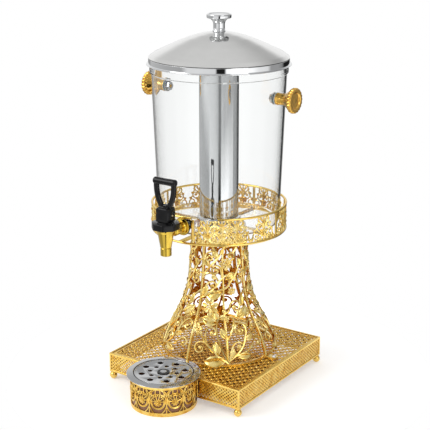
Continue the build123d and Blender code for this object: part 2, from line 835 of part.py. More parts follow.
# Lid knob: a dished disc on a waisted stem, held by a screw from inside the lid
knob_top = lid_apex + knob_height
disc_bottom = knob_top - knob_disc_thickness
with BuildPart() as lid_knob:
    with BuildSketch(Plane.XZ):
        with BuildLine():
            Polyline((0, lid_apex), (knob_stem_radius, lid_apex),
                     (knob_stem_radius, disc_bottom - knob_disc_thickness),
                     (knob_flare_radius, disc_bottom),
                     (knob_disc_radius, (disc_bottom + knob_top) / 2),
                     (knob_disc_radius - knob_dish, knob_top),
                     (knob_disc_radius - 2 * knob_dish, knob_top),
                     (knob_flare_radius, knob_top - knob_dish),
                     (0, knob_top - knob_dish), close=True)
        make_face()
    revolve(axis=Axis.Z)
    with BuildSketch(Plane.XY.offset(lid_apex)):
        Circle(knob_bore_radius)
    extrude(amount=knob_height / 2, mode=Mode.SUBTRACT)
save(lid_knob.part, "lid_knob")

screw_seat = lid_apex - lid_sheet
with BuildPart() as lid_knob_screw:
    with BuildSketch(Plane.XY.offset(screw_seat - knob_screw_head_height)):
        Circle(knob_screw_head_radius)
    extrude(amount=knob_screw_head_height - hole_clearance)
    with BuildSketch(Plane.XY.offset(screw_seat - knob_screw_head_height)):
        Circle(knob_screw_radius)
    extrude(amount=knob_screw_head_height + lid_sheet + knob_height / 2 - overrun)
save(lid_knob_screw.part, "lid_knob_screw")

# Carrying knobs. Each is turned about its own axis and has a scalloped, dished face.
gasket_face = carry_wall_radius + wall_seat_gap
stem_face = gasket_face + gasket_thickness
disc_face = stem_face + carry_reach
knob_face = disc_face + carry_disc_thickness
inner_gasket_face = carry_wall_radius - tank_wall - 2 * wall_seat_gap - gasket_thickness
nut_face = inner_gasket_face - carry_nut_height
with BuildPart() as carry_knobs:
    for side in (-1, 1):
        with BuildSketch(Plane.XZ):
            with BuildLine():
                grip_level = carry_level + carry_disc_radius - carry_lobe_depth
                neck_level = carry_level + carry_stem_radius
                Polyline((side * stem_face, carry_level), (side * stem_face, neck_level),
                         (side * (disc_face - carry_reach / 3), neck_level),
                         (side * disc_face, carry_level + carry_dish_radius),
                         (side * (knob_face - carry_grip_width), grip_level),
                         (side * knob_face, grip_level),
                         (side * knob_face, carry_level + carry_dish_radius),
                         (side * (knob_face - carry_dish_depth), carry_level + carry_dish_radius / 2),
                         (side * (knob_face - carry_dish_depth), carry_level), close=True)
            make_face()
        revolve(axis=Axis((0, 0, carry_level), (1, 0, 0)))
        with BuildSketch(Plane.YZ.offset(side * knob_face)):
            with Locations((0, carry_level)):
                with PolarLocations(carry_disc_radius - carry_lobe_depth, carry_lobe_count):
                    Rectangle(2 * carry_lobe_depth, 2 * carry_lobe_depth, rotation=45)
        extrude(amount=-side * carry_grip_width)
        with BuildSketch(Plane.YZ.offset(side * nut_face)):
            with Locations((0, carry_level)):
                Circle(carry_screw_radius)
        extrude(amount=side * (stem_face - nut_face))
save(carry_knobs.part, "carry_knobs")

with BuildPart() as carry_knob_gaskets:
    for side in (-1, 1):
        for face in (gasket_face, inner_gasket_face):
            with BuildSketch(Plane.YZ.offset(side * face)):
                with Locations((0, carry_level)):
                    Circle(carry_stem_radius)
                    Circle(carry_screw_radius + hole_clearance, mode=Mode.SUBTRACT)
            extrude(amount=side * gasket_thickness)
save(carry_knob_gaskets.part, "carry_knob_gaskets")

with BuildPart() as carry_knob_nuts:
    for side in (-1, 1):
        with BuildSketch(Plane.YZ.offset(side * nut_face)):
            with Locations((0, carry_level)):
                RegularPolygon(carry_nut_radius, 6)
                Circle(carry_screw_radius + hole_clearance, mode=Mode.SUBTRACT)
        extrude(amount=side * carry_nut_height)
save(carry_knob_nuts.part, "carry_knob_nuts")

# Tap body: a tapered spout with the valve chamber above it and the shank behind
washer_face = shank_wall_radius + 2 * wall_seat_gap
shank_gasket_face = shank_wall_radius - tank_wall - 2 * wall_seat_gap - gasket_thickness
shank_nut_face = shank_gasket_face - shank_nut_height
shank_end = shank_nut_face - shank_tail
spout_shoulder = spout_lip_level + spout_lip_height
seat_floor = chamber_floor_level - valve_seat_depth
tap_axis = Axis((0, -tap_offset, 0), (0, 0, 1))
with BuildPart() as tap_body:
    with BuildSketch(Plane.XZ.offset(tap_offset)):
        with BuildLine():
            Polyline((0, spout_lip_level), (spout_lip_radius, spout_lip_level),
                     (spout_lip_radius, spout_shoulder), (body_top_radius, body_top_level),
                     (body_neck_radius, body_top_level),
                     (body_neck_radius, body_top_level + body_neck_height),
                     (0, body_top_level + body_neck_height), close=True)
        make_face()
    revolve(axis=tap_axis)
    with BuildSketch(Plane.XZ.offset(shank_end)):
        with Locations((0, tap_level)):
            Circle(shank_radius)
    extrude(amount=tap_offset - shank_end)
    with BuildSketch(Plane.XZ.offset(tap_offset)):
        with BuildLine():
            Polyline((0, spout_lip_level), (spout_bore_radius, spout_lip_level),
                     (spout_bore_radius, seat_floor - valve_seat_depth), (valve_seat_radius, seat_floor),
                     (chamber_radius, chamber_floor_level),
                     (chamber_radius, body_top_level + body_neck_height),
                     (0, body_top_level + body_neck_height), close=True)
        make_face()
    revolve(axis=tap_axis, mode=Mode.SUBTRACT)
    with BuildSketch(Plane.XZ.offset(shank_end)):
        with Locations((0, tap_level)):
            Circle(shank_bore_radius)
    extrude(amount=tap_offset - shank_end, mode=Mode.SUBTRACT)
save(tap_body.part, "tap_body")


def shank_disc(face, thickness, radius, name):
    """Flat ring on the shank that starts at a distance from the tower axis."""
    with BuildPart(mode=Mode.PRIVATE) as ring:
        with BuildSketch(Plane.XZ.offset(face)):
            with Locations((0, tap_level)):
                Circle(radius)
                Circle(shank_radius + hole_clearance, mode=Mode.SUBTRACT)
        extrude(amount=thickness)
    save(ring.part, name)


shank_disc(washer_face, gasket_thickness, washer_radius - gasket_thickness, "tap_outer_gasket")
shank_disc(washer_face + gasket_thickness, washer_thickness - gasket_thickness, washer_radius, "tap_washer")
shank_disc(shank_gasket_face, gasket_thickness, shank_nut_radius - gasket_thickness / 2, "tap_inner_gasket")

with BuildPart() as tap_shank_nut:
    with BuildSketch(Plane.XZ.offset(shank_nut_face)):
        with Locations((0, tap_level)):
            RegularPolygon(shank_nut_radius, 6, rotation=30)
            Circle(shank_radius + hole_clearance, mode=Mode.SUBTRACT)
    extrude(amount=shank_nut_height)
save(tap_shank_nut.part, "tap_shank_nut")

# Bonnet: an eight-sided cap screwed over the neck, with a hole for the stem
with BuildPart() as tap_bonnet:
    with BuildSketch(Plane.XY.offset(body_top_level)):
        with Locations((0, -tap_offset)):
            RegularPolygon(bonnet_radius, bonnet_sides, rotation=180 / bonnet_sides)
    extrude(amount=bonnet_height - bonnet_bevel)
    with BuildSketch(Plane.XY.offset(bonnet_top - bonnet_bevel)):
        with Locations((0, -tap_offset)):
            Circle(bonnet_collar_radius)
    extrude(amount=bonnet_bevel)
    with BuildSketch(Plane.XY.offset(body_top_level)):
        with Locations((0, -tap_offset)):
            Circle(body_neck_radius + hole_clearance)
    extrude(amount=bonnet_cavity_height, mode=Mode.SUBTRACT)
    with BuildSketch(Plane.XY.offset(body_top_level)):
        with Locations((0, -tap_offset)):
            Circle(stem_radius + stem_clearance)
    extrude(amount=bonnet_height, mode=Mode.SUBTRACT)
save(tap_bonnet.part, "tap_bonnet")

# Seat cup: a rubber plug on the foot of the stem, which closes the valve seat
stem_foot = chamber_floor_level + plug_height / 2
with BuildPart() as tap_seat_cup:
    with BuildSketch(Plane.XZ.offset(tap_offset)):
        with BuildLine():
            Polyline((0, seat_floor + hole_clearance),
                     (valve_seat_radius - hole_clearance, seat_floor + hole_clearance),
                     (plug_radius, chamber_floor_level), (plug_radius, chamber_floor_level + plug_height),
                     (stem_radius + hole_clearance, chamber_floor_level + plug_height),
                     (stem_radius + hole_clearance, stem_foot), (0, stem_foot), close=True)
        make_face()
    revolve(axis=tap_axis)
save(tap_seat_cup.part, "tap_seat_cup")

with BuildPart() as tap_stem:
    with BuildSketch(Plane.XZ.offset(tap_offset)):
        with BuildLine():
            Polyline((0, stem_foot), (stem_radius, stem_foot), (stem_radius, pin_level + stem_radius / 2),
                     (stem_radius / 2, pin_level + stem_radius), (0, pin_level + stem_radius), close=True)
        make_face()
    revolve(axis=tap_axis)
    with BuildSketch(Plane.YZ):
        with Locations((-tap_offset, pin_level)):
            Circle(handle_pin_radius + pin_clearance)
    extrude(amount=stem_radius + overrun, both=True, mode=Mode.SUBTRACT)
save(tap_stem.part, "tap_stem")

# Handle: a heel with a rounded cam under it, forked round the stem, and a finger loop above
heel_half = heel_width / 2
cam_drop = math.sqrt(heel_cam_radius ** 2 - (heel_half - heel_cam_offset) ** 2)
slot_half = stem_radius + heel_slot_clearance
finger_bottom = heel_top + loop_leg_width
with BuildPart() as tap_handle:
    with BuildSketch(Plane.YZ):
        with BuildLine():
            front = -tap_offset - heel_half
            back = -tap_offset + heel_half
            cam = RadiusArc((-tap_offset - heel_cam_offset, pin_level - heel_cam_radius),
                            (front, pin_level - cam_drop), heel_cam_radius)
            Polyline(cam @ 1, (front, heel_top), (back, heel_top),
                     (back, pin_level - heel_cam_radius), cam @ 0)
        make_face()
    extrude(amount=heel_half, both=True)
    chamfer(tap_handle.edges().filter_by(Axis.Z), length=heel_bevel)
    with BuildSketch(Plane.XZ.offset(tap_offset - loop_depth / 2)):
        with BuildLine():
            top_half = loop_top_gap / 2 + loop_leg_width
            foot_half = loop_bottom_gap / 2 + loop_leg_width
            Polyline((-foot_half, heel_top), (foot_half, heel_top), (top_half, loop_bar_level),
                     (-top_half, loop_bar_level), close=True)
        make_face()
        with BuildLine():
            gap_foot = loop_bottom_gap / 2
            gap_head = loop_top_gap / 2
            gap_top = loop_bar_level - loop_bar_radius
            cradle = ThreePointArc((-gap_foot, finger_bottom + gap_foot), (0, finger_bottom),
                                   (gap_foot, finger_bottom + gap_foot))
            Polyline(cradle @ 1, (gap_head, gap_top), (-gap_head, gap_top), cradle @ 0)
        make_face(mode=Mode.SUBTRACT)
    extrude(amount=loop_depth)
    with BuildSketch(Plane.YZ):
        with Locations((-tap_offset, loop_bar_level)):
            Circle(loop_bar_radius)
    extrude(amount=loop_bar_length / 2, both=True)
    with BuildSketch(Plane.YZ):
        with Locations((-tap_offset, pin_level)):
            Circle(slot_half)
            for tilt in (0, -handle_swing / 2, -handle_swing):
                Rectangle(2 * slot_half, heel_cam_radius + overrun, rotation=tilt,
                          align=(Align.CENTER, Align.MAX))
    extrude(amount=slot_half, both=True, mode=Mode.SUBTRACT)
    with BuildSketch(Plane.YZ):
        with Locations((-tap_offset, pin_level)):
            Circle(handle_pin_radius + pin_clearance)
    extrude(amount=heel_width, both=True, mode=Mode.SUBTRACT)
save(tap_handle.part, "tap_handle")

with BuildPart() as tap_handle_pin:
    with BuildSketch(Plane.YZ):
        with Locations((-tap_offset, pin_level)):
            Circle(handle_pin_radius)
    extrude(amount=heel_half - pin_clearance, both=True)
save(tap_handle_pin.part, "tap_handle_pin")

# Drip cup shell: plain bands above and below a row of pointed lights
cup_arcade_height = cup_height - 2 * cup_band
cup_light_width = 2 * math.pi * cup_radius / cup_light_count * cup_light_share
with BuildPart() as drip_cup_shell:
    with BuildSketch():
        with Locations((0, -cup_offset)):
            Circle(cup_radius)
            Circle(cup_radius - cup_sheet, mode=Mode.SUBTRACT)
    extrude(amount=cup_height)
    for step in range(cup_light_count):
        angle = 360 * (step + 1 / 2) / cup_light_count
        place = facing(angle)
        place.origin = place.origin + Vector(0, -cup_offset, 0)
        with BuildSketch(place):
            with BuildLine():
                shoulder_level = cup_band + cup_arcade_height / 3
                Polyline((-cup_light_width / 2, cup_band), (cup_light_width / 2, cup_band),
                         (cup_light_width / 2, shoulder_level), (0, cup_height - cup_band),
                         (-cup_light_width / 2, shoulder_level), close=True)
            make_face()
        extrude(amount=cup_radius + overrun, mode=Mode.SUBTRACT)
save(drip_cup_shell.part, "drip_cup_shell")

liner_radius = cup_radius - cup_sheet - liner_gap
rim_seat = cup_height
with BuildPart() as drip_cup_liner:
    with BuildSketch(Plane.XY.offset(liner_lift)):
        with Locations((0, -cup_offset)):
            Circle(liner_radius)
    extrude(amount=rim_seat - liner_lift)
    with BuildSketch(Plane.XY.offset(liner_lift + liner_wall)):
        with Locations((0, -cup_offset)):
            Circle(liner_radius - liner_wall)
    extrude(amount=rim_seat, mode=Mode.SUBTRACT)
save(drip_cup_liner.part, "drip_cup_liner")

# Rim: a flat flange that rests on the shell, stepped down inside to a ledge for the grate
rim_axis = Axis((0, -cup_offset, 0), (0, 0, 1))
rim_top = rim_seat + rim_rise
ledge_top = rim_top - grate_thickness - rim_thickness
with BuildPart() as drip_rim:
    with BuildSketch(Plane.XZ.offset(cup_offset)):
        with BuildLine():
            Polyline((rim_well_radius - rim_ledge, ledge_top - rim_thickness),
                     (rim_well_radius + rim_thickness, ledge_top - rim_thickness),
                     (rim_well_radius + rim_thickness, rim_top - rim_thickness),
                     (rim_radius, rim_seat), (rim_radius, rim_seat + rim_thickness),
                     (rim_well_radius + rim_thickness, rim_top), (rim_well_radius, rim_top),
                     (rim_well_radius, ledge_top), (rim_well_radius - rim_ledge, ledge_top), close=True)
        make_face()
    revolve(axis=rim_axis)
save(drip_rim.part, "drip_rim")

# Grate: a round plate with a raised bead at its edge and two rings of drain holes
grate_radius = rim_well_radius - grate_gap
with BuildPart() as drip_grate:
    with BuildSketch(Plane.XY.offset(ledge_top)):
        with Locations((0, -cup_offset)):
            Circle(grate_radius)
            Circle(grate_centre_hole_radius, mode=Mode.SUBTRACT)
            with PolarLocations(grate_outer_circle, 8):
                Circle(grate_outer_hole_radius, mode=Mode.SUBTRACT)
            with PolarLocations(grate_inner_circle, 8, start_angle=22.5):
                Circle(grate_inner_hole_radius, mode=Mode.SUBTRACT)
    extrude(amount=grate_thickness)
    with BuildSketch(Plane.XY.offset(ledge_top + grate_thickness)):
        with Locations((0, -cup_offset)):
            Circle(grate_radius)
            Circle(grate_radius - grate_bead, mode=Mode.SUBTRACT)
    extrude(amount=grate_thickness / 2)
save(drip_grate.part, "drip_grate")
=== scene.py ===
import math

import bmesh
import bpy
from bpy.props import FloatProperty, FloatVectorProperty, IntProperty, PointerProperty
from mathutils import Matrix, Vector


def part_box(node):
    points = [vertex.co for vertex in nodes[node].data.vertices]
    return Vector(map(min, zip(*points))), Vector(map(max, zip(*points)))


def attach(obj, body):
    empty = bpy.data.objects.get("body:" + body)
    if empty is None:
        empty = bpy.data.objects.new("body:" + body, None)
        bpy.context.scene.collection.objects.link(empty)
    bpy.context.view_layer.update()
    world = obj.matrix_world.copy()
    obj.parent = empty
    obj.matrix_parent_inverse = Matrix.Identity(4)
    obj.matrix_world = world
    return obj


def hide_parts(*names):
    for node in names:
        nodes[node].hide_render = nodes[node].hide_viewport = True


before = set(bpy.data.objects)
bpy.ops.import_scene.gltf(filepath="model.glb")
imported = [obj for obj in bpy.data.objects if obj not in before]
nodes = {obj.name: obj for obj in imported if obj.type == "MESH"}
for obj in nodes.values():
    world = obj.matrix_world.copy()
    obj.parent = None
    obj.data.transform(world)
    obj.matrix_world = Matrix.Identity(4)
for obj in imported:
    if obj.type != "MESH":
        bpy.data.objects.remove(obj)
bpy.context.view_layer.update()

bl_info = {
    "name": "Juice Dispenser",
    "version": (1, 0, 0),
    "blender": (4, 5, 0),
    "location": "View3D > Sidebar > Dispenser",
    "description": "Models a gold filigree juice dispenser piece by piece over its fixed frame",
    "category": "Object",
}


def length(label, note, default):
    """A length in metres that the user can change."""
    return FloatProperty(name=label, description=note, default=default, min=0.0,
                         precision=5, subtype="DISTANCE", unit="LENGTH")


def colour(label, note, default):
    """A colour that the user can change."""
    return FloatVectorProperty(name=label, description=note, default=default, size=3,
                               min=0.0, max=1.0, subtype="COLOR")


class BaseSizes(bpy.types.PropertyGroup):
    half_width: length("Half Width", "Half of the width of the base", 0.13)
    front: length("Front", "From the tower's axis to the front edge", 0.137)
    back: length("Back", "From the tower's axis to the back edge", 0.122)
    top: length("Top", "Level of the top of the base", 0.0465)
    sheet: length("Sheet", "Thickness of the pierced sheets", 0.0012)
    rim: length("Rim", "Width of the square rims of the frame", 0.003)
    flower_pitch: length("Flower Pitch", "Spacing along one row of the flowers in the top plate", 0.0133)
    flower_rise: length("Flower Rise", "Height of the stamped petals of the top plate", 0.0011)
    diamond_width: length("Diamond Width", "Spacing along the walls of the diamond holes", 0.0065)
    diamond_height: length("Diamond Height", "Height of one row of diamond holes", 0.0057)
    ball_radius: length("Ball Radius", "Radius of the ball feet", 0.0064)
    ball_inset: length("Ball Inset", "From the edges of the base to a ball foot", 0.0045)
    notch_radius: length("Notch Radius", "Radius of the round notch", 0.055)


class CupSizes(bpy.types.PropertyGroup):
    offset: length("Offset", "From the tower's axis to the cup's axis", 0.1583)
    radius: length("Radius", "Outer radius of the shell", 0.0536)
    height: length("Height", "Height of the shell", 0.052)
    band: length("Band", "Height of the plain bands of the shell", 0.0065)
    sheet: length("Sheet", "Thickness of the shell", 0.0012)
    rosettes: IntProperty(name="Rosettes", description="Rosettes round the shell", default=12, min=4)
    rim_radius: length("Rim Radius", "Outer radius of the flange", 0.0597)
    well_radius: length("Well Radius", "Radius of the well that holds the grate", 0.0486)


class TowerSizes(bpy.types.PropertyGroup):
    foot_radius: length("Foot Radius", "Radius of the tower at its foot", 0.0972)
    neck_radius: length("Neck Radius", "Radius of the tower at its neck", 0.045)
    foot: length("Foot", "Level of the foot of the bell", 0.0465)
    neck: length("Neck", "Level of the top of the neck", 0.2571)
    rod: length("Rod", "Radius of the four rods", 0.0023)
    strip: length("Strip", "Width of the flat strips behind the rods", 0.0066)
    stalk: length("Stalk", "Radius of the stalks at their root", 0.002088)
    leaf_sheet: length("Leaf Sheet", "Thickness of the leaves and petals", 0.0011)


class GallerySizes(bpy.types.PropertyGroup):
    radius: length("Radius", "Radius of the gallery to the middle of its wire", 0.11)
    wire: length("Wire", "Thickness of the rails", 0.0038)
    bottom: length("Bottom", "Level of the lower rail", 0.2586)
    top: length("Top", "Level of the upper rail", 0.3007)
    opening: FloatProperty(name="Opening", description="Half of the opening of the upper rail at the tap",
                           default=math.radians(11.0), subtype="ANGLE", unit="ROTATION")
    scroll: length("Scroll", "Radius of the wire of the scrolls", 0.0013)


class TankSizes(bpy.types.PropertyGroup):
    foot_radius: length("Foot Radius", "Outer radius at the foot of the tank", 0.0995)
    mouth_radius: length("Mouth Radius", "Outer radius at the mouth of the tank", 0.1092)
    collar_radius: length("Collar Radius", "Outer radius of the thick collar", 0.111)
    collar_height: length("Collar Height", "Height of the thick collar", 0.022)
    wall: length("Wall", "Thickness of the wall", 0.003)
    floor: length("Floor", "Thickness of the floor", 0.004)
    bottom: length("Bottom", "Level of the underside of the tank", 0.2681)
    top: length("Top", "Level of the mouth of the tank", 0.5365)
    tube_radius: length("Tube Radius", "Outer radius of the ice tube", 0.032)
    tube_top: length("Tube Top", "Level of the top of the ice tube", 0.5151)


class LidSizes(bpy.types.PropertyGroup):
    flange_radius: length("Flange Radius", "Radius of the flange of the lid", 0.116)
    band_radius: length("Band Radius", "Radius of the upright band of the lid", 0.1125)
    bottom: length("Bottom", "Level of the flange", 0.5273)
    band_top: length("Band Top", "Level of the top of the band", 0.5383)
    apex: length("Apex", "Level of the top of the dome", 0.5789)
    knob_top: length("Knob Top", "Level of the top of the knob", 0.6081)


class TapSizes(bpy.types.PropertyGroup):
    offset: length("Offset", "From the tower's axis to the tap's axis", 0.147)
    level: length("Level", "Level of the shank", 0.283)
    lip_level: length("Lip Level", "Level of the lip of the spout", 0.247)
    lip_radius: length("Lip Radius", "Radius of the lip of the spout", 0.0087)
    body_top: length("Body Top", "Level of the top of the gold body", 0.291)
    body_radius: length("Body Radius", "Radius of the top of the gold body", 0.0141)
    heel_top: length("Heel Top", "Level of the top of the heel", 0.324)
    heel: length("Heel", "Width of the square heel", 0.022)
    bar_level: length("Bar Level", "Level of the cross bar", 0.3658)
    bar_length: length("Bar Length", "Length of the cross bar", 0.0425)


class KnobSizes(bpy.types.PropertyGroup):
    level: length("Level", "Level of the carrying knobs", 0.4827)
    root: length("Root", "From the tower's axis to the root of a knob", 0.10916)
    radius: length("Radius", "Radius of the scalloped disc", 0.02)
    lobes: IntProperty(name="Lobes", description="Lobes round the disc", default=20, min=6)


class Colours(bpy.types.PropertyGroup):
    gold: colour("Gold", "Colour of the gold plate", (0.79, 0.5, 0.1))
    gold_pale: colour("Pale Gold", "Lighter patches of the gold plate", (0.87, 0.65, 0.21))
    gold_deep: colour("Deep Gold", "Darker patches of the gold plate", (0.5, 0.23, 0.025))
    gold_bright: colour("Bright Gold", "Raised places of the tower's openwork", (0.93, 0.79, 0.38))
    # Painted shade: the darker gold that the inward faces of the openwork take
    gold_inward_painted_shade: colour("Inside Gold", "Inner faces of the openwork, left unpolished", (0.78, 0.33, 0.035))
    # Painted shade: the tap's body is darker than the other gold, in place of the dark streaks it mirrors
    gold_tap_painted_shade: colour("Tap Gold", "Colour of the tap's gold body", (0.68, 0.47, 0.07))
    gold_knobs: colour("Knob Gold", "Colour of the carrying knobs", (0.86, 0.51, 0.11))
    steel: colour("Steel", "Colour of the polished steel", (0.72, 0.73, 0.74))
    satin: colour("Satin Steel", "Colour of the brushed lid", (0.78, 0.78, 0.77))
    black: colour("Black", "Colour of the black plastic", (0.004, 0.004, 0.0045))
    clear: colour("Clear", "Tint of the clear plastic", (0.985, 0.992, 0.99))
    silicone: colour("Silicone", "Colour of the soft seals", (0.62, 0.63, 0.63))
    liner: colour("Liner", "Colour of the liner of the cup", (0.2, 0.085, 0.04))
    floor: colour("Floor", "Colour of the floor", (0.86, 0.86, 0.86))
    # Painted shadow: the floor under the base takes this dark colour
    under: colour("Under the Base", "Colour of the floor under the base", (0.12, 0.06, 0.03))


GROUPS = {
    "dispenser_base": BaseSizes, "dispenser_cup": CupSizes, "dispenser_tower": TowerSizes,
    "dispenser_gallery": GallerySizes, "dispenser_tank": TankSizes, "dispenser_lid": LidSizes,
    "dispenser_tap": TapSizes, "dispenser_knobs": KnobSizes, "dispenser_colours": Colours,
}


# Gaps in metres under which points are merged: in nodes and cut rings, in pieces, and in leaves
NODE_GAP, PIECE_GAP, LEAF_GAP = 0.000002, 0.000005, 0.00002


# Selecting and shaping
def only(*pieces):
    """Selects these pieces alone, with the first one active."""
    bpy.ops.object.select_all(action="DESELECT")
    for piece in pieces:
        piece.select_set(True)
    bpy.context.view_layer.objects.active = pieces[0]


def edit(piece, kind="VERT", action="DESELECT"):
    """Opens a piece in edit mode with nothing selected, or everything."""
    only(piece)
    bpy.ops.object.mode_set(mode="EDIT")
    bpy.ops.mesh.select_mode(type=kind)
    bpy.ops.mesh.select_all(action=action)


def leave():
    """Closes edit mode."""
    bpy.ops.object.mode_set(mode="OBJECT")


def called(name):
    """Names the piece that was just made."""
    piece = bpy.context.object
    piece.name = piece.data.name = name
    return piece


def added(name, operator, **settings):
    """Adds a simple shape with its operator and names it."""
    bpy.ops.object.select_all(action="DESELECT")
    operator(**settings)
    return called(name)


def grid(name, columns, rows, size=1.0, middle=0.0):
    """A flat square grid, centred on y = 0."""
    return added(name, bpy.ops.mesh.primitive_grid_add, x_subdivisions=columns, y_subdivisions=rows,
                 size=size, location=(middle, 0, 0))


def disc(name, corners, radius):
    """A flat face with its corners on a circle."""
    return added(name, bpy.ops.mesh.primitive_circle_add, vertices=corners, radius=radius, fill_type="NGON")


def dropped(*pieces):
    """Removes pieces that only served to make others."""
    for piece in pieces:
        bpy.data.objects.remove(piece)


def pick_points(piece, test):
    """Selects the points of the open piece whose place passes a test."""
    bpy.ops.mesh.select_all(action="DESELECT")
    shape = bmesh.from_edit_mesh(piece.data)
    for point in shape.verts:
        point.select_set(test(point.co))
    shape.select_flush(True)
    bmesh.update_edit_mesh(piece.data)


def pick_faces(piece, test):
    """Selects the faces of the open piece that pass a test of middle and normal."""
    bpy.ops.mesh.select_all(action="DESELECT")
    shape = bmesh.from_edit_mesh(piece.data)
    for face in shape.faces:
        if test(face.calc_center_median(), face.normal):
            face.select_set(True)
    bmesh.update_edit_mesh(piece.data)


def rectangle(half, low, high, upwards):
    """The four sides of a rectangle, each as a place and the normal that points outwards."""
    across, along = Vector((1, 0, 0)), Vector(upwards)
    return (across * half, across), (-across * half, -across), (along * high, along), (along * low, -along)


def trimmed(sides):
    """Cuts off what lies outside each (place, normal) plane of the open piece."""
    for place, normal in sides:
        bpy.ops.mesh.select_all(action="SELECT")
        bpy.ops.mesh.bisect(plane_co=place, plane_no=normal, clear_outer=True)


def moved(piece, place):
    """Moves each point of a finished piece to where place puts it."""
    for point in piece.data.vertices:
        point.co = place(point.co)
    piece.data.update()
    return piece


def weld(piece, gap=PIECE_GAP):
    """Merges doubles and turns the faces outwards."""
    edit(piece, action="SELECT")
    bpy.ops.mesh.remove_doubles(threshold=gap)
    bpy.ops.mesh.normals_make_consistent(inside=False)
    leave()
    return piece


def set_place(piece):
    """Puts a piece's place, turn and scale into its mesh."""
    only(piece)
    bpy.ops.object.transform_apply(location=True, rotation=True, scale=True)
    return piece


def modified(piece, kind, **settings):
    """Adds one modifier and applies it."""
    only(piece)
    modifier = piece.modifiers.new(kind.title(), kind)
    for key, value in settings.items():
        setattr(modifier, key, value)
    bpy.ops.object.modifier_apply(modifier=modifier.name)
    return piece


def smoothed(piece, angle=38):
    """Shades a piece smooth, except at edges sharper than an angle."""
    only(piece)
    bpy.ops.object.shade_smooth_by_angle(angle=math.radians(angle))
    return piece


def joined(name, *pieces):
    """Joins pieces into the first one."""
    only(*pieces)
    bpy.ops.object.join()
    return called(name)


def copied(piece, change=Matrix(), name=None):
    """A copy with its own mesh, put through a matrix."""
    only(piece)
    bpy.ops.object.duplicate()
    twin = called(name) if name else bpy.context.object
    twin.data.transform(change)
    return twin


def turned(degrees, axis="Z"):
    """A turn about an axis through the middle."""
    return Matrix.Rotation(math.radians(degrees), 4, axis)


def shifted(x, y, z):
    """A shift in metres."""
    return Matrix.Translation((x, y, z))


def above(level, *points):
    """Points of (radius, rise above a level) as (radius, level)."""
    return [(radius, level + rise) for radius, rise in points]


def ring_line(inner, outer, low, high):
    """The closed outline of a plain ring."""
    return [(inner, low), (outer, low), (outer, high), (inner, high), (inner, low)]


def softened(line, radius, steps=3):
    """The same line of points with its corners rounded."""
    corners, most = [Vector(point) for point in line], 0.45
    path = [corners[0]]
    for before, corner, after in zip(corners, corners[1:], corners[2:]):
        back, ahead = before - corner, after - corner
        reach = min(radius, back.length * most, ahead.length * most)
        start, end = corner + back.normalized() * reach, corner + ahead.normalized() * reach
        for step in range(steps + 1):
            t = step / steps
            path.append(start * (1 - t) ** 2 + corner * 2 * t * (1 - t) + end * t ** 2)
    return [tuple(point) for point in path + corners[-1:]]


def spun(name, line, steps=96, centre=(0.0, 0.0), turn=360.0, start=0.0):
    """Spins a line of (radius, level) points round an upright axis."""
    piece = added(name, bpy.ops.mesh.primitive_circle_add, vertices=3, radius=0.001)
    edit(piece, action="SELECT")
    bpy.ops.mesh.merge(type="CENTER")
    bpy.ops.transform.translate(value=(line[0][0], 0.0, line[0][1]))
    for (radius, level), (next_radius, next_level) in zip(line, line[1:]):
        bpy.ops.mesh.extrude_region_move(
            TRANSFORM_OT_translate={"value": (next_radius - radius, 0.0, next_level - level)})
    bpy.ops.mesh.select_all(action="SELECT")
    bpy.ops.mesh.spin(steps=steps, angle=math.radians(turn), center=(0, 0, 0), axis=(0, 0, 1))
    if turn < 360.0:
        bpy.ops.mesh.select_all(action="SELECT")
        bpy.ops.mesh.remove_doubles(threshold=NODE_GAP)
        bpy.ops.mesh.select_mode(type="EDGE")
        bpy.ops.mesh.select_non_manifold()
        bpy.ops.mesh.fill_holes(sides=0)
    leave()
    piece.data.transform(shifted(*centre, 0) @ turned(start))
    return smoothed(weld(piece))


def lathed(name, line, soft, finish, node, body="pedestal", bends=3, steps=128, centre=(0.0, 0.0)):
    """A finished piece, spun from a line whose corners are rounded."""
    return hooked(spun(name, softened(line, soft, bends), steps, centre), body, finish, node)


def tapered(points, first=1.0, loss=0.0):
    """Points of a rod, each with its share of the rod's radius."""
    return [(point, first - loss * number / len(points)) for number, point in enumerate(points)]


def rods(name, paths, radius, sides, steps):
    """Round rods through tapered points."""
    piece = added(name, bpy.ops.curve.primitive_bezier_curve_add)
    wire = piece.data
    wire.splines.clear()
    for path in paths:
        spline = wire.splines.new("BEZIER")
        spline.bezier_points.add(len(path) - 1)
        for knot, (place, share) in zip(spline.bezier_points, path):
            knot.co = place
            knot.radius = share
            knot.handle_left_type = knot.handle_right_type = "AUTO"
        spline.resolution_u = steps
    wire.dimensions = "3D"
    wire.bevel_depth = radius
    wire.bevel_resolution = sides
    wire.use_fill_caps = True
    only(piece)
    bpy.ops.object.convert(target="MESH")
    return smoothed(weld(called(name)), 50)


def hooked(piece, body, finish, node):
    """Gives a finished piece its body and its finish's material, and hides the node that it stands for."""
    material, slot = finish
    piece.data.materials.clear()
    piece.data.materials.append(bpy.data.materials[material])
    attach(piece, body)
    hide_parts(node)
    return piece


def painted(piece, finish, test):
    """Gives the faces that pass a test a further finish."""
    piece.data.materials.append(bpy.data.materials[finish[0]])
    for face in piece.data.polygons:
        if test(face):
            face.material_index = len(piece.data.materials) - 1
    return piece


def painted_shade_inwards(piece, finish):
    """Gives the faces that look inwards, to the tower's axis, a second, darker finish: painted shade."""
    inwards = -0.15
    return painted(piece, finish, lambda face: face.center.xy.normalized().dot(face.normal.xy) < inwards)


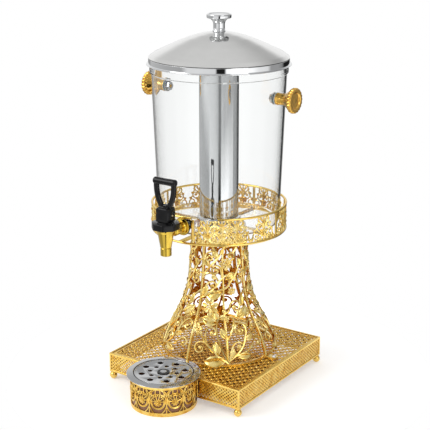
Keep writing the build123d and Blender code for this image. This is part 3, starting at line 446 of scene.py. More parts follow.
def polished(node, name, bevel=0.0004, angle=32):
    """A copy of a node with merged faces and softened edges."""
    piece = copied(nodes[node], name=name)
    piece.parent = None
    for key in list(piece.keys()):
        if key.startswith("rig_"):
            del piece[key]
    edit(piece, action="SELECT")
    bpy.ops.mesh.remove_doubles(threshold=NODE_GAP)
    bpy.ops.mesh.dissolve_limited(angle_limit=math.radians(1.0))
    bpy.ops.mesh.normals_make_consistent(inside=False)
    leave()
    modified(piece, "BEVEL", width=bevel, segments=2, limit_method="ANGLE", angle_limit=math.radians(angle))
    return smoothed(piece, 40)


def kept(node, name, finish, bevel=0.0004, angle=32):
    """A polished copy of a node of the pedestal, which takes its place."""
    hooked(polished(node, name, bevel, angle), "pedestal", finish, node)


# Shader nodes
def fed(tree, node, inputs):
    """Sets a node's inputs, by name or number, to values or to outputs of other nodes."""
    for key, value in inputs.items():
        if isinstance(value, bpy.types.NodeSocket):
            tree.links.new(value, node.inputs[key])
        else:
            node.inputs[key].default_value = value
    return node


def wired(tree, kind, inputs=None, **options):
    """Adds a shader node, in a row from left to right, with its own options and its inputs."""
    node = tree.nodes.new("ShaderNode" + kind)
    step, room = 200, 4000
    node.location = (step * len(tree.nodes) - room, 0)
    for key, value in options.items():
        setattr(node, key, value)
    return fed(tree, node, inputs or {})


def reckoned(tree, operation, *terms):
    """The outcome of a sum with numbers."""
    return wired(tree, "Math", dict(enumerate(terms)), operation=operation).outputs[0]


def ranged(tree, value, start, end, low=0.0, high=1.0):
    """A value brought from one range to another."""
    inputs = {"Value": value, "From Min": start, "From Max": end, "To Min": low, "To Max": high}
    return wired(tree, "MapRange", inputs).outputs["Result"]


def blended(tree, share, first, second):
    """A blend of two colours."""
    inputs = {"Factor": share, "A": first, "B": second}
    return wired(tree, "Mix", inputs, data_type="RGBA").outputs["Result"]


def ramped(tree, factor, stops):
    """A colour that follows a factor through the stops of a ramp."""
    ramp = wired(tree, "ValToRGB", {"Fac": factor})
    elements = ramp.color_ramp.elements
    while len(elements) < len(stops):
        elements.new(0.5)
    for element, (position, shade) in zip(elements, stops):
        element.position = position
        element.color = (*shade, 1.0)
    return ramp.outputs["Color"]


def new_material(name):
    """A material and its node tree."""
    material = bpy.data.materials.new(name)
    material.use_nodes = True
    return material, material.node_tree


def shaded(tone, share):
    """A colour made darker or lighter."""
    return tuple(value * share for value in tone)


def patchy(tone, share):
    """Ramp stops for a colour with darker or lighter patches."""
    return (0.3, shaded(tone, share)), (0.7, tone)


def new_finish(finish, stops, scale, rough, relief, grain):
    """A finish whose colour, roughness and bump follow noise in the object's own space.

    stops are those of the colour's ramp, rough is the lowest and the highest roughness,
    relief the height of the bumps in metres and grain the scale of their noise.
    """
    name, slot = finish
    tree = new_material(name)[1]
    place = wired(tree, "TexCoord").outputs["Object"]
    clouds = wired(tree, "TexNoise", {"Vector": place, "Scale": scale, "Detail": 4.0, "Roughness": 0.6})
    fine = wired(tree, "TexNoise", {"Vector": place, "Scale": grain, "Detail": 3.0, "Roughness": 0.5})
    bumps = wired(tree, "Bump", {"Height": fine.outputs["Fac"], "Strength": 1.0, "Distance": relief})
    fed(tree, tree.nodes["Principled BSDF"], {
        "Base Color": ramped(tree, clouds.outputs["Fac"], stops), "Normal": bumps.outputs["Normal"],
        "Roughness": ranged(tree, fine.outputs["Fac"], 0.3, 0.7, *rough),
        "Metallic": float(slot in METALS), **OTHER_INPUTS.get(finish, {})})


# Finishes: the name of the material and its slot
# The inside and tap golds are darker copies of the gold: painted shade
GOLD, CAST_GOLD, STAMPED_GOLD, TOWER_GOLD, INWARD_PAINTED_SHADE_GOLD, TAP_PAINTED_SHADE_GOLD, KNOB_GOLD = (
    (f"gold_plate_{kind}", "gold_plate")
    for kind in ("polished", "cast", "stamped", "tower", "inside", "tap", "knobs"))
MIRROR, SATIN, CUP_STEEL = ((f"steel_{kind}", "mirror_steel") for kind in ("mirror", "satin", "brushed_cup"))
FASTENER = ("steel_fastener", "fastener_steel")
CLEAR = ("clear_plastic_tank", "clear_plastic")
BLACK = ("black_plastic_gloss", "black_plastic")
SILICONE = ("silicone_seal", "clear_silicone")
LINER = ("liner_plastic_dark", "liner_plastic")
METALS = ("gold_plate", "mirror_steel", "fastener_steel")
OTHER_INPUTS = {
    SATIN: {"Anisotropic": 0.3}, BLACK: {"Specular IOR Level": 0.25}, SILICONE: {"Subsurface Weight": 0.2},
    CLEAR: {"Transmission Weight": 1.0, "IOR": 1.3, "Specular IOR Level": 0.2},
}
# Nodes that keep their own shape
PLAIN_NODES = {
    SILICONE: ("ice_tube_seal", "tap_inner_gasket", "tap_seat_cup", "carry_knob_gaskets",
               "tap_outer_gasket"),
    FASTENER: ("lid_knob_screw", "carry_knob_nuts", "tap_shank_nut", "tap_handle_pin", "stud_cap_nut"),
    CLEAR: ("lid_seat_ring",), BLACK: ("tap_stem", "tap_washer"), GOLD: ("tank_spacer",),
}


class DISPENSER_OT_finishes(bpy.types.Operator):
    """Make the finishes: gold plate, steels, plastics and silicone"""
    bl_idname = "dispenser.finishes"
    bl_label = "Finishes"

    def execute(self, context):
        tone = context.scene.dispenser_colours
        gold, pale, deep, bright = tone.gold, tone.gold_pale, tone.gold_deep, tone.gold_bright
        black, liner = tone.black, tone.liner
        # Painted reflection: a darker, warmer gold for the stamped plate, for the gold tower and base it
        # mirrors
        warm_painted_reflection = tuple((a + b) / 2 for a, b in zip(deep, gold))
        for finish, *recipe in (
                (GOLD, ((0.3, gold), (0.7, pale)), 30, (0.12, 0.2), 0.00003, 260),
                (CAST_GOLD, ((0.25, deep), (0.45, gold), (0.72, pale)), 90, (0.16, 0.3), 0.00012, 420),
                (STAMPED_GOLD, ((0.3, warm_painted_reflection), (0.55, gold), (0.7, pale)), 140, (0.16, 0.28), 0.0001, 500),
                (TOWER_GOLD, ((0.32, gold), (0.5, pale), (0.68, bright)), 110, (0.12, 0.24), 0.00016, 330),
                # Painted shade: the darker gold of the inward faces
                (INWARD_PAINTED_SHADE_GOLD, patchy(tone.gold_inward_painted_shade, 0.72), 70, (0.25, 0.4), 0.0001, 300),
                # Painted shade: the tap body's darker gold
                (TAP_PAINTED_SHADE_GOLD, patchy(tone.gold_tap_painted_shade, 0.85), 40, (0.08, 0.14), 0.00002, 260),
                (KNOB_GOLD, patchy(tone.gold_knobs, 0.8), 50, (0.09, 0.18), 0.00003, 260),
                (MIRROR, patchy(tone.steel, 0.9), 12, (0.03, 0.06), 0.000006, 120),
                (SATIN, patchy(tone.satin, 0.93), 20, (0.09, 0.14), 0.000006, 500),
                (CUP_STEEL, patchy(shaded(tone.steel, 0.66), 0.94), 12, (0.09, 0.13), 0.00001, 120),
                (FASTENER, patchy(tone.steel, 0.9), 60, (0.18, 0.32), 0.00003, 400),
                (CLEAR, patchy(tone.clear, 0.985), 8, (0.0, 0.015), 0.000004, 30),
                (BLACK, ((0.35, black), (0.75, shaded(black, 1.8))), 40, (0.12, 0.2), 0.000006, 90),
                (SILICONE, patchy(tone.silicone, 0.85), 50, (0.35, 0.5), 0.00004, 300),
                (LINER, ((0.3, liner), (0.7, shaded(liner, 1.7))), 60, (0.3, 0.45), 0.00005, 300)):
            new_finish(finish, *recipe)
        for (name, _), plain in PLAIN_NODES.items():
            for node in plain:
                for holder in nodes[node].material_slots:
                    holder.material = bpy.data.materials[name]
        return {"FINISHED"}


# Base
def lattice(name, width, height, size, share=0.66):
    """Upright sheet of diamond holes in the plane y = 0, from z = 0 upwards and centred on x = 0.

    share says how far the holes reach in their cells.
    """
    cell_width, cell_height = size.diamond_width, size.diamond_height
    count = int((width / cell_width + height / cell_height) + 4)
    piece = grid(name, count, count, count)
    half = cell_width / 2, cell_height / 2
    moved(piece, lambda co: Vector(((co.x - co.y) * half[0], 0.0, (co.x + co.y) * half[1] + height / 2)))
    edit(piece, "FACE")
    sides = rectangle(width / 2, 0, height, (0, 0, 1))
    for place, normal in sides:
        far = place + normal * max(cell_width, cell_height) * 1.5
        pick_faces(piece, lambda middle, _: (middle - far).dot(normal) > 0)
        bpy.ops.mesh.delete(type="FACE")
    bpy.ops.mesh.select_all(action="SELECT")
    bpy.ops.mesh.inset(thickness=min(half) * (1 - share), use_individual=True)
    bpy.ops.mesh.delete(type="FACE")
    trimmed(sides)
    leave()
    return modified(weld(piece), "SOLIDIFY", thickness=size.sheet, offset=0.0, use_even_offset=True)


class DISPENSER_OT_base_walls(bpy.types.Operator):
    """Make the pierced walls of the base, the band of the notch, the frame and the ball feet"""
    bl_idname = "dispenser.base_walls"
    bl_label = "Base Walls"

    def execute(self, context):
        size, cup = context.scene.dispenser_base, context.scene.dispenser_cup
        for side in ("front_left", "front_right", "right", "back", "left"):
            node = f"base_screen_{side}"
            low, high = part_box(node)
            across, deep, tall = (end - start for start, end in zip(low, high))
            sheet = lattice(f"diamond_wall_{side}", max(across, deep), tall, size)
            middle = (Vector(low) + Vector(high)) / 2
            sheet.data.transform(shifted(middle.x, middle.y, low[2]) @ turned(90 if deep > across else 0))
            # Painted shade: the walls' inward faces take the darker inside gold
            painted_shade_inwards(hooked(smoothed(weld(sheet), 30), "pedestal", CAST_GOLD, node), INWARD_PAINTED_SHADE_GOLD)

        low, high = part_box("base_notch_band")
        bend = size.notch_radius + size.sheet / 2
        half_turn = math.asin(min(1.0, (high[0] - low[0]) / 2 / bend))
        band = lattice("diamond_wall_notch", 2 * half_turn * bend, high[2] - low[2], size)

        def round_notch(point):
            turn, reach = point.x / bend, bend + point.y
            return Vector((reach * math.sin(turn), reach * math.cos(turn) - cup.offset, point.z + low[2]))
        hooked(smoothed(weld(moved(band, round_notch)), 30), "pedestal", CAST_GOLD, "base_notch_band")
        kept("base_frame", "base_edges", GOLD)

        # Ball foot: a ball, a little flat below, under a short neck
        ball, flat, neck, steps = size.ball_radius, 0.0003, 0.5, 16
        start = math.acos(1 - flat / ball)
        turns = [start + (math.pi - start - neck) * step / steps for step in range(1, steps + 1)]
        line = [(0, 0), (0.0016, 0)]
        line += [(ball * math.sin(turn), ball - flat - ball * math.cos(turn)) for turn in turns]
        line += [(0.0034, 0.0118), (0.0046, 0.0122), (0.0046, 0.013), (0, 0.013)]
        foot = spun("ball_foot", line, 32)
        feet = [copied(foot, shifted(side * (size.half_width - size.ball_inset), level, 0))
                for side in (-1, 1) for level in (size.ball_inset - size.front, size.back - size.ball_inset)]
        dropped(foot)
        hooked(joined("ball_feet_turned", *feet), "pedestal", GOLD, "ball_feet")
        return {"FINISHED"}


def blade(name, line, rows=4, crease=0.26):
    """A leaf of unit length along +X and unit width, creased along its middle.

    line gives its share of the width and its rise at each step from root to tip.
    """
    steps = len(line) - 1
    piece = set_place(grid(name, steps, rows, middle=0.5))
    edit(piece)
    for step, (share, rise) in enumerate(line):
        along = step / steps
        pick_points(piece, lambda co: abs(co.x - along) < 0.01)
        bpy.ops.transform.resize(value=(1, share, 1), center_override=(along, 0, 0))
        bpy.ops.transform.translate(value=(0, 0, rise))
    pick_points(piece, lambda co: abs(co.y) < 0.01)
    bpy.ops.transform.translate(value=(0, 0, -crease))
    bpy.ops.mesh.select_all(action="SELECT")
    bpy.ops.mesh.remove_doubles(threshold=0.001)
    leave()
    return piece


class DISPENSER_OT_flower_plate(bpy.types.Operator):
    """Make the top plate of the base, a field of small pierced flowers in a plain border"""
    bl_idname = "dispenser.flower_plate"
    bl_label = "Flower Plate"

    def execute(self, context):
        size, cup = context.scene.dispenser_base, context.scene.dispenser_cup
        pitch, rise, middle_y = size.flower_pitch, size.flower_rise, (size.back - size.front) / 2
        petal = blade("plate_petal", ((0.3, 0.3), (1.0, 1.0), (0.3, 0.1)), 2, 0.55)
        heart, length, width, height = pitch * 0.03, pitch * 0.38, pitch * 0.28, rise * 0.7
        scaled = Matrix.Diagonal((length, width, height, 1))
        petals = [copied(petal, turned(60 * number) @ shifted(heart, 0, 0) @ scaled) for number in range(6)]
        boss = disc("plate_boss", 6, pitch * 0.17)
        edit(boss, "FACE", "SELECT")
        bpy.ops.mesh.inset(thickness=pitch * 0.08)
        bpy.ops.transform.translate(value=(0, 0, rise * 1.3))
        leave()
        flower = joined("plate_flower", *petals, boss)

        # Each row starts at another share of the pitch, and every second one is turned further
        level, drift = size.top - 0.0019, 0.382
        count_x = int(2 * size.half_width / pitch) + 2
        count_y = int(2 * (size.front + size.back) / pitch) + 2
        singles = [modified(copied(flower, turned(turn)), "ARRAY", count=count_x, use_relative_offset=False,
                            use_constant_offset=True, constant_offset_displace=(pitch, 0, 0))
                   for turn in (8, 37)]
        rows = [copied(singles[row % 2], shifted((row * drift % 1.0) * pitch - count_x * pitch / 2,
                                                 middle_y + (row - (count_y - 1) / 2) * pitch / 2, level))
                for row in range(count_y)]
        dropped(petal, flower, *singles)
        field = joined("flower_field", *rows)
        edit(field)
        border = size.rim + 0.0046
        trimmed(rectangle(size.half_width - border, border - size.front, size.back - border, (0, 1, 0)))
        notch, reach = Vector((0, -cup.offset, level)), size.notch_radius + 0.0038
        pick_faces(field, lambda middle, _: (middle - notch).length < reach)
        bpy.ops.mesh.delete(type="FACE")
        leave()
        modified(field, "SOLIDIFY", thickness=0.0004, offset=-1.0)

        # Plain border round the field and round the notch
        seam = size.rim + 0.0012
        width, front, back = size.half_width - seam, size.front - seam, size.back - seam
        bend = size.notch_radius
        edge = math.sqrt(max(0.0, bend ** 2 - (cup.offset - front) ** 2))
        start = math.atan2(edge, cup.offset - front)
        turns = [start * step / 16 for step in range(-15, 16)]
        outline = [(-width, -front), (-edge, -front)]
        outline += [(bend * math.sin(turn), bend * math.cos(turn) - cup.offset) for turn in turns]
        outline += [(edge, -front), (width, -front), (width, back), (-width, back)]
        rim = disc("plate_border", len(outline), width)
        for point, (x, y) in zip(rim.data.vertices, outline):
            point.co = (x, y, size.top - 0.0011)
        edit(rim, action="SELECT")
        bpy.ops.mesh.normals_make_consistent(inside=False)
        bpy.ops.mesh.inset(thickness=0.004)
        bpy.ops.mesh.delete(type="FACE")
        leave()
        up = sum(face.normal.z for face in rim.data.polygons)
        modified(rim, "SOLIDIFY", thickness=size.sheet * 0.8, offset=-1.0 if up > 0 else 1.0)
        modified(weld(rim), "BEVEL", width=0.0003, segments=2, limit_method="ANGLE")
        plate = joined("flower_plate", smoothed(field, 50), smoothed(rim))
        hooked(plate, "pedestal", STAMPED_GOLD, "base_top_plate")
        return {"FINISHED"}


# Tower
# The bell, as shares of its height and of the difference between its two radii
BELL_SHARES = ((0, 1), (0.069, 0.92), (0.176, 0.757), (0.354, 0.383), (0.482, 0.2), (0.705, 0.077), (1, 0))


def bell_radius(size, level):
    """Radius of the bell at a level, on a smooth line through its shares."""
    share = min(1.0, max(0.0, (level - size.foot) / (size.neck - size.foot)))
    pairs = tuple(zip(BELL_SHARES, BELL_SHARES[1:]))
    slopes = [(high[1] - low[1]) / (high[0] - low[0]) for low, high in pairs]
    bends = [slopes[0]] + [0.5 * (a + b) for a, b in zip(slopes, slopes[1:])] + [slopes[-1]]
    for (low, high), leaving, arriving in zip(pairs, bends, bends[1:]):
        if share <= high[0]:
            run = high[0] - low[0]
            t = (share - low[0]) / run
            value = ((2 * t ** 3 - 3 * t ** 2 + 1) * low[1] + (t ** 3 - 2 * t ** 2 + t) * run * leaving
                     + (3 * t ** 2 - 2 * t ** 3) * high[1] + (t ** 3 - t ** 2) * run * arriving)
            return size.neck_radius + value * (size.foot_radius - size.neck_radius)
    return size.neck_radius


def on_bell(size, angle, level, lift=0.0):
    """Point on the bell at an angle in degrees from the front, lifted outwards."""
    reach = bell_radius(size, level) + lift
    turn = math.radians(angle)
    return Vector((reach * math.sin(turn), -reach * math.cos(turn), level))


def ring_place(radius, offset=0.0):
    """Makes a function that places an arc, a level and a lift on an upright ring."""
    def place(across, level, lift):
        turn, reach = across / radius, radius + lift
        return Vector((reach * math.sin(turn), -offset - reach * math.cos(turn), level))
    return place


# One bouquet, as angles in degrees from the middle of a panel and levels in millimetres
STALKS = (
    ((-0.9, 49), (-1.9, 70.4), (-1.7, 89.1), (-2.5, 105.9), (-3, 124.2), (-3.3, 142.2), (-3, 163.8),
    (-3.8, 185.9), (-5.2, 201.2), (-4.4, 215.1), (-2.1, 235), (-1, 253)), ((-0.9, 50), (-6.4, 67),
    (-11.5, 87), (-14, 102.5), (-13.4, 114.6)), ((-13.4, 114.6), (-7.5, 120.6), (-1.3, 124.1)), ((-0.9, 50),
    (-11.9, 62), (-20.8, 74.1), (-26.4, 82.2), (-33.5, 94.5), (-36.4, 98.8), (-44, 106)), ((-41.7, 148.7),
    (-30.3, 155.3), (-18.6, 165.9), (-9.7, 177.7), (-0.3, 185.7), (14.6, 188.5)), ((-44.7, 146),
    (-24.3, 158), (-6.8, 162.5), (2.2, 166.3), (8.7, 172.6), (7.4, 179.6), (1.1, 180.1)), ((-44.7, 184),
    (-29.2, 201.1), (-14.5, 215.2), (-6.3, 226.3), (4, 240), (10, 253)),
    ((14.6, 118), (22, 130), (31, 148), (44, 160)), ((-20, 228), (-26, 240), (-24, 253)),
    ((18, 223.7), (27, 232), (31, 253)), ((8.7, 172.6), (22, 186), (34, 205), (44, 214)),
)
CURLS = (
    ((-25, 82.4), (-27.3, 97.9), (-22.8, 104.2), (-16.9, 103.1), (-14.9, 97.1), (-18, 93.4), (-21.1, 96.1),
    (-19.5, 99)), ((-23.4, 79.5), (-27.8, 82.3), (-33.6, 82), (-37.5, 76.1), (-36.1, 68.8), (-31.2, 67.4),
    (-28.4, 71.8), (-30.1, 75.9), (-32.4, 74.8)), ((0.6, 56.1), (2.8, 71.1), (8, 81.7), (13.4, 81.2),
    (15.7, 75.5), (12.8, 71.8), (9.7, 74.4), (10.5, 77.6)), ((-0.4, 53.6), (7.8, 62.7), (15.5, 73.7),
    (20.6, 86.4), (23.8, 96.7), (21.8, 105.9), (14.8, 108), (10.1, 102.7), (10.9, 95.9), (16, 93.6),
    (19.2, 97.9), (16.4, 100.9)), ((-1.6, 85.5), (5.3, 98), (9.3, 109.5), (9, 116.9), (3.3, 120),
    (-2.2, 119.8)), ((-3, 124.2), (4.1, 128.8), (6.8, 136.3), (12.7, 142.6), (21.1, 141.9), (24.2, 134.8),
    (20.7, 128.9), (13.6, 129.5), (11.5, 134.4), (15.4, 136.4)), ((5, 60.7), (14.3, 63.8), (22.8, 67.7),
    (27.3, 71.3)), ((-37.4, 156.4), (-35.7, 167.8), (-28.1, 175.5), (-19.6, 176.1), (-16.4, 169.4),
    (-21.6, 165), (-26.2, 168.1), (-23.6, 171.1)), ((-5.8, 183.2), (-6.8, 194.2), (-11.2, 201.9),
    (-19.3, 203.2), (-24.4, 197.9), (-22.3, 191.2), (-15.2, 191.4), (-13.6, 196.3), (-18, 197.6)),
    ((-44.5, 178.9), (-35.5, 189.2), (-25.5, 190.3), (-17.4, 184.5), (-12.7, 177.7)), ((-29.2, 201.1),
    (-36.3, 206.6), (-35.7, 215.8), (-27.9, 219.4), (-25.2, 214), (-29.7, 211.6)), ((3.5, 210.5),
    (13.9, 211.6), (20.5, 217.1), (18, 223.7), (10.7, 223.2), (8.7, 217.8), (13.1, 216)), ((-42.1, 212.8),
    (-36.9, 222), (-26.3, 227.2), (-16.2, 229.1)), ((23.8, 96.7), (30, 108), (37, 112), (41, 104), (37, 97),
    (32, 99), (34, 104)), ((22.8, 67.7), (30, 78), (37, 83), (41, 77), (37.5, 71), (33, 73)), ((20, 184),
    (24, 174), (32, 170), (37, 176), (33, 183), (28, 180)),
)
# Root, tip and width. The widths count so many to a metre, and all else is as above.
LEAF_WIDTHS_TO_METRE = 740
LEAVES = (
    ((-3.6, 56.6), (-27.6, 51.6), 15), ((-11.9, 63.3), (-15.3, 85.1), 10.4), ((1.7, 58.5), (5.5, 74), 7),
    ((7.7, 61.4), (25, 58.7), 9), ((-14.3, 112.1), (-37.7, 117.6), 12.5), ((-14.3, 114), (-30.3, 128.3), 9),
    ((-13.4, 115.2), (-18.8, 130.7), 9), ((-10, 117), (-1.3, 123.5), 7), ((-1.7, 89.1), (-9.9, 104), 9.7),
    ((8.1, 110.9), (9.9, 101.4), 6), ((-34.2, 153.1), (-2.7, 158.3), 12),
    ((-40.5, 150.9), (-31.6, 168.9), 9), ((1.2, 182.8), (20.9, 190.1), 9),
    ((27.1, 132.8), (31.1, 153.5), 8.5), ((17, 117.1), (39.1, 134.3), 11.5),
    ((-30, 201.6), (-44, 216.3), 8.3), ((-14.5, 215.2), (-22.9, 231.8), 8.3),
    ((-18.9, 179.3), (-22.3, 190.3), 6.2), ((-2.1, 232), (8, 246), 7), ((-1.5, 236), (-11, 249), 7),
    ((30, 236), (41, 247), 7), ((-25, 240), (-38, 250), 7), ((34, 200), (28, 214), 7.5),
    ((20, 84), (32, 90), 7.5),
)
# Middle, radius in millimetres and petals
FLOWERS = (
    ((-25.1, 136.6), 14, 7), ((-38.2, 101), 9.5, 6), ((1.7, 206), 11.5, 7), ((-0.6, 116.7), 5.5, 5),
    ((34, 122), 7.5, 6), ((36, 188), 7, 6), ((12, 160), 7, 6),
)
# Buds: middle and radius in millimetres
BUDS = (
    ((12.3, 76), 2.6), ((14.9, 98.4), 2.8), ((14.9, 134.2), 2.7), ((-17.3, 196.9), 2.7),
    ((-22.5, 170), 2.5), ((-19.4, 97.6), 2.6), ((-31.8, 74.4), 2.6), ((-2.9, 129.3), 3.4),
    ((12.3, 218.3), 2.4), ((-30, 213), 2), ((35, 102), 2.2), ((36, 75), 2.2), ((31.5, 178), 2.2),
)
PANEL_ANGLES = {"front_right": 45, "back_right": 135, "back_left": 225, "front_left": 315}
# Shares of the width of a leaf and of a petal, from root to tip
LEAF_SHARES = (0.1, 0.62, 0.95, 1.0, 0.82, 0.45, 0.0)
PETAL_SHARES = (0.1, 0.4, 0.7, 0.95, 1.05, 0.9, 0.35)


def templates():
    """A leaf, a petal and a low bead of unit radius, from which the openwork is made."""
    highest, flatness = 0.16, 0.7
    rises = [highest * math.sin(math.pi * step / 6) for step in range(7)]
    leaf = blade("leaf_blade", tuple(zip(LEAF_SHARES, rises)))
    petal = blade("petal_blade", tuple(zip(PETAL_SHARES, rises)))
    bead = added("bud_bead", bpy.ops.mesh.primitive_ico_sphere_add, subdivisions=2, radius=1.0)
    edit(bead, action="SELECT")
    bpy.ops.transform.resize(value=(1, 1, flatness))
    leave()
    return leaf, petal, bead


def laid(template, root, tip, width, place, lift=0.0):
    """A copy of a blade laid on a surface from root to tip."""
    run, rise = tip[0] - root[0], tip[1] - root[1]
    reach = math.hypot(run, rise)
    return moved(copied(template), lambda co: place(
        root[0] + run * co.x - rise / reach * width * co.y,
        root[1] + rise * co.x + run / reach * width * co.y, lift + co.z * min(reach, width)))


def beaded(bead, middle, radius, place, lift=0.0):
    """A copy of a round bead set on a surface."""
    return moved(copied(bead), lambda co: place(
        middle[0] + co.x * radius, middle[1] + co.y * radius, lift + co.z * radius))


def blossom(petal, bead, middle, radius, petals, place):
    """Two rings of petals round a bead, in shares of the radius."""
    parts, start, inner_ring, eye, fullness, layer = [], 0.12, 0.58, 0.17, 3.6, 0.0012
    for ring, (share, count) in enumerate(((1.0, petals), (inner_ring, petals - 1))):
        for number in range(count):
            turn = 2 * math.pi * (number + 0.5 * ring) / count + 0.3
            x, y = radius * math.cos(turn), radius * math.sin(turn)
            root, tip = ((middle[0] + reach * x, middle[1] + reach * y) for reach in (start, share))
            parts.append(laid(petal, root, tip, share * radius * fullness / petals, place, ring * layer))
    return parts + [beaded(bead, middle, radius * eye, place, 0.0016)]


def leafy(name, blades, thickness):
    """Joins blades into one sheet and thickens it."""
    return modified(weld(joined(name, *blades), LEAF_GAP), "SOLIDIFY", thickness=thickness, offset=0.0)


class DISPENSER_OT_tower(bpy.types.Operator):
    """Make the tower: foot ring, rods, neck collar and the four openwork bouquets"""
    bl_idname = "dispenser.tower"
    bl_label = "Tower"

    def execute(self, context):
        size = context.scene.dispenser_tower
        kept("tower_foot_ring", "foot_ring_edges", TOWER_GOLD, 0.0006)
        kept("foot_tab_screws", "tab_screw_heads", FASTENER)

        foot_ring, collar_height, collar_wall = 0.0022, 0.005, 0.003
        low, high = size.foot + foot_ring, size.neck - collar_height
        rise, inset = high - low, 1.6 * size.rod
        quarters = (0, 90, 180, 270)
        paths = [tapered([on_bell(size, angle, low + rise * step / 11, -size.rod) for step in range(12)])
                 for angle in quarters]
        skeleton = rods("tower_rods", paths, size.rod, 3, 4)
        collar = ring_line(size.neck_radius - collar_wall, size.neck_radius, high, size.neck)
        collar = spun("neck_collar", softened(collar, 0.001))
        strips = []
        for angle in quarters:
            strip = grid("rod_strip", 2, 24)

            def behind(co):
                level = low + (co.y + 0.5) * rise
                turn = math.degrees(co.x * size.strip / bell_radius(size, level))
                return on_bell(size, angle + turn, level, -inset)
            strips.append(modified(weld(moved(strip, behind)), "SOLIDIFY", thickness=0.001, offset=0.0))
        ribs = smoothed(joined("tower_rods", skeleton, collar, *strips), 40)
        # Painted shade: the inward faces of the rods, collar and strips take the darker inside gold
        painted_shade_inwards(hooked(ribs, "pedestal", TOWER_GOLD, "tower_ribs"), INWARD_PAINTED_SHADE_GOLD)

        def on_panel(across, level, lift):
            """across is the arc from the middle of the panel at this level."""
            return on_bell(size, math.degrees(across / bell_radius(size, level)), level, lift)

        def flat(point):
            """A traced angle and level as an arc and a level in metres."""
            level = point[1] / 1000
            return math.radians(point[0]) * bell_radius(size, level), level

        leaf, petal, bead = templates()
        sunk = -0.0004
        blades = [laid(leaf, flat(root), flat(tip), width / LEAF_WIDTHS_TO_METRE, on_panel, sunk)
                  for root, tip, width in LEAVES]
        for middle, radius, petals in FLOWERS:
            blades += blossom(petal, bead, flat(middle), radius / 1000, petals, on_panel)
        blades += [beaded(bead, flat(middle), radius / 1000, on_panel, sunk) for middle, radius in BUDS]
        sheet = leafy("bouquet_leaves", blades, size.leaf_sheet)
        smoothed(modified(sheet, "SUBSURF", levels=1, render_levels=1), 60)
        lines = [tapered([on_bell(size, angle, level / 1000, lift) for angle, level in path], first, 0.25)
                 for traced, lift, first in ((STALKS, -0.0012, 1.0), (CURLS, -0.0008, 0.9))
                 for path in traced]
        bouquet = joined("bouquet", rods("bouquet_stems", lines, size.stalk, 1, 5), sheet)
        for side, angle in PANEL_ANGLES.items():
            panel = copied(bouquet, turned(angle), f"bouquet_{side}")
            # Painted shade: the panels' inward faces take the darker inside gold
            painted_shade_inwards(hooked(panel, "pedestal", TOWER_GOLD, f"tower_panel_{side}"), INWARD_PAINTED_SHADE_GOLD)
        dropped(bouquet, leaf, petal, bead)
        return {"FINISHED"}


# Gallery: one upright motif, in shares of its width and height. Each path but the first is mirrored.
MOTIF_PATHS = (
    ((0, 0), (0.02, 0.25), (0, 0.5), (0, 0.75), (0, 1)), ((0.02, 0.03), (0.18, 0.02), (0.36, 0.08),
    (0.45, 0.22), (0.38, 0.37), (0.26, 0.34), (0.23, 0.22), (0.31, 0.17)), ((0.04, 0.2), (0.14, 0.36),
    (0.26, 0.48), (0.29, 0.63), (0.19, 0.69), (0.12, 0.6), (0.18, 0.53)), ((0.02, 0.52), (0.1, 0.7),
    (0.2, 0.82), (0.21, 0.94), (0.12, 0.97), (0.08, 0.88)), ((0.38, 0.37), (0.35, 0.47), (0.29, 0.55)),
    ((0.29, 0.63), (0.26, 0.74), (0.2, 0.82)), ((0.21, 0.94), (0.24, 1)), ((0.45, 0.2), (0.5, 0.1)),
    ((0.1, 0.02), (0.12, 0.14), (0.06, 0.24)), ((0.2, 0.02), (0.17, 0.12), (0.23, 0.2)),
    ((0.36, 0), (0.36, 0.08)), ((0.12, 0.36), (0.06, 0.44), (0, 0.4)),
)
MOTIF_LEAVES = (
    ((0.36, 0.38), (0.44, 0.5), 0.09), ((0.28, 0.62), (0.35, 0.74), 0.08), ((0.2, 0.82), (0.27, 0.9), 0.07),
    ((0.05, 0.28), (0.16, 0.46), 0.1), ((0.03, 0.58), (0.11, 0.76), 0.08), ((0.3, 0.06), (0.18, 0.14), 0.08),
)
MOTIF_FLOWERS = (((0, 0.34), 0.16, 6), ((0, 0.8), 0.1, 5))
MOTIF_BUDS = (
    ((0.31, 0.2), 0.045), ((0.18, 0.58), 0.04), ((0.11, 0.9), 0.035), ((0.12, 0.07), 0.03),
    ((0.5, 0.08), 0.05),
)
MOTIF_WIDTH = 0.046
MOTIF_ANGLES = {
    "front_right": (24.5, 36.5, 48.5, 74.0), "back_right": (104.0, 128.0, 151.0, 168.5),
    "back_left": (191.5, 209.0, 232.0, 256.5), "front_left": (283.5, 311.5, 323.5, 335.5),
}


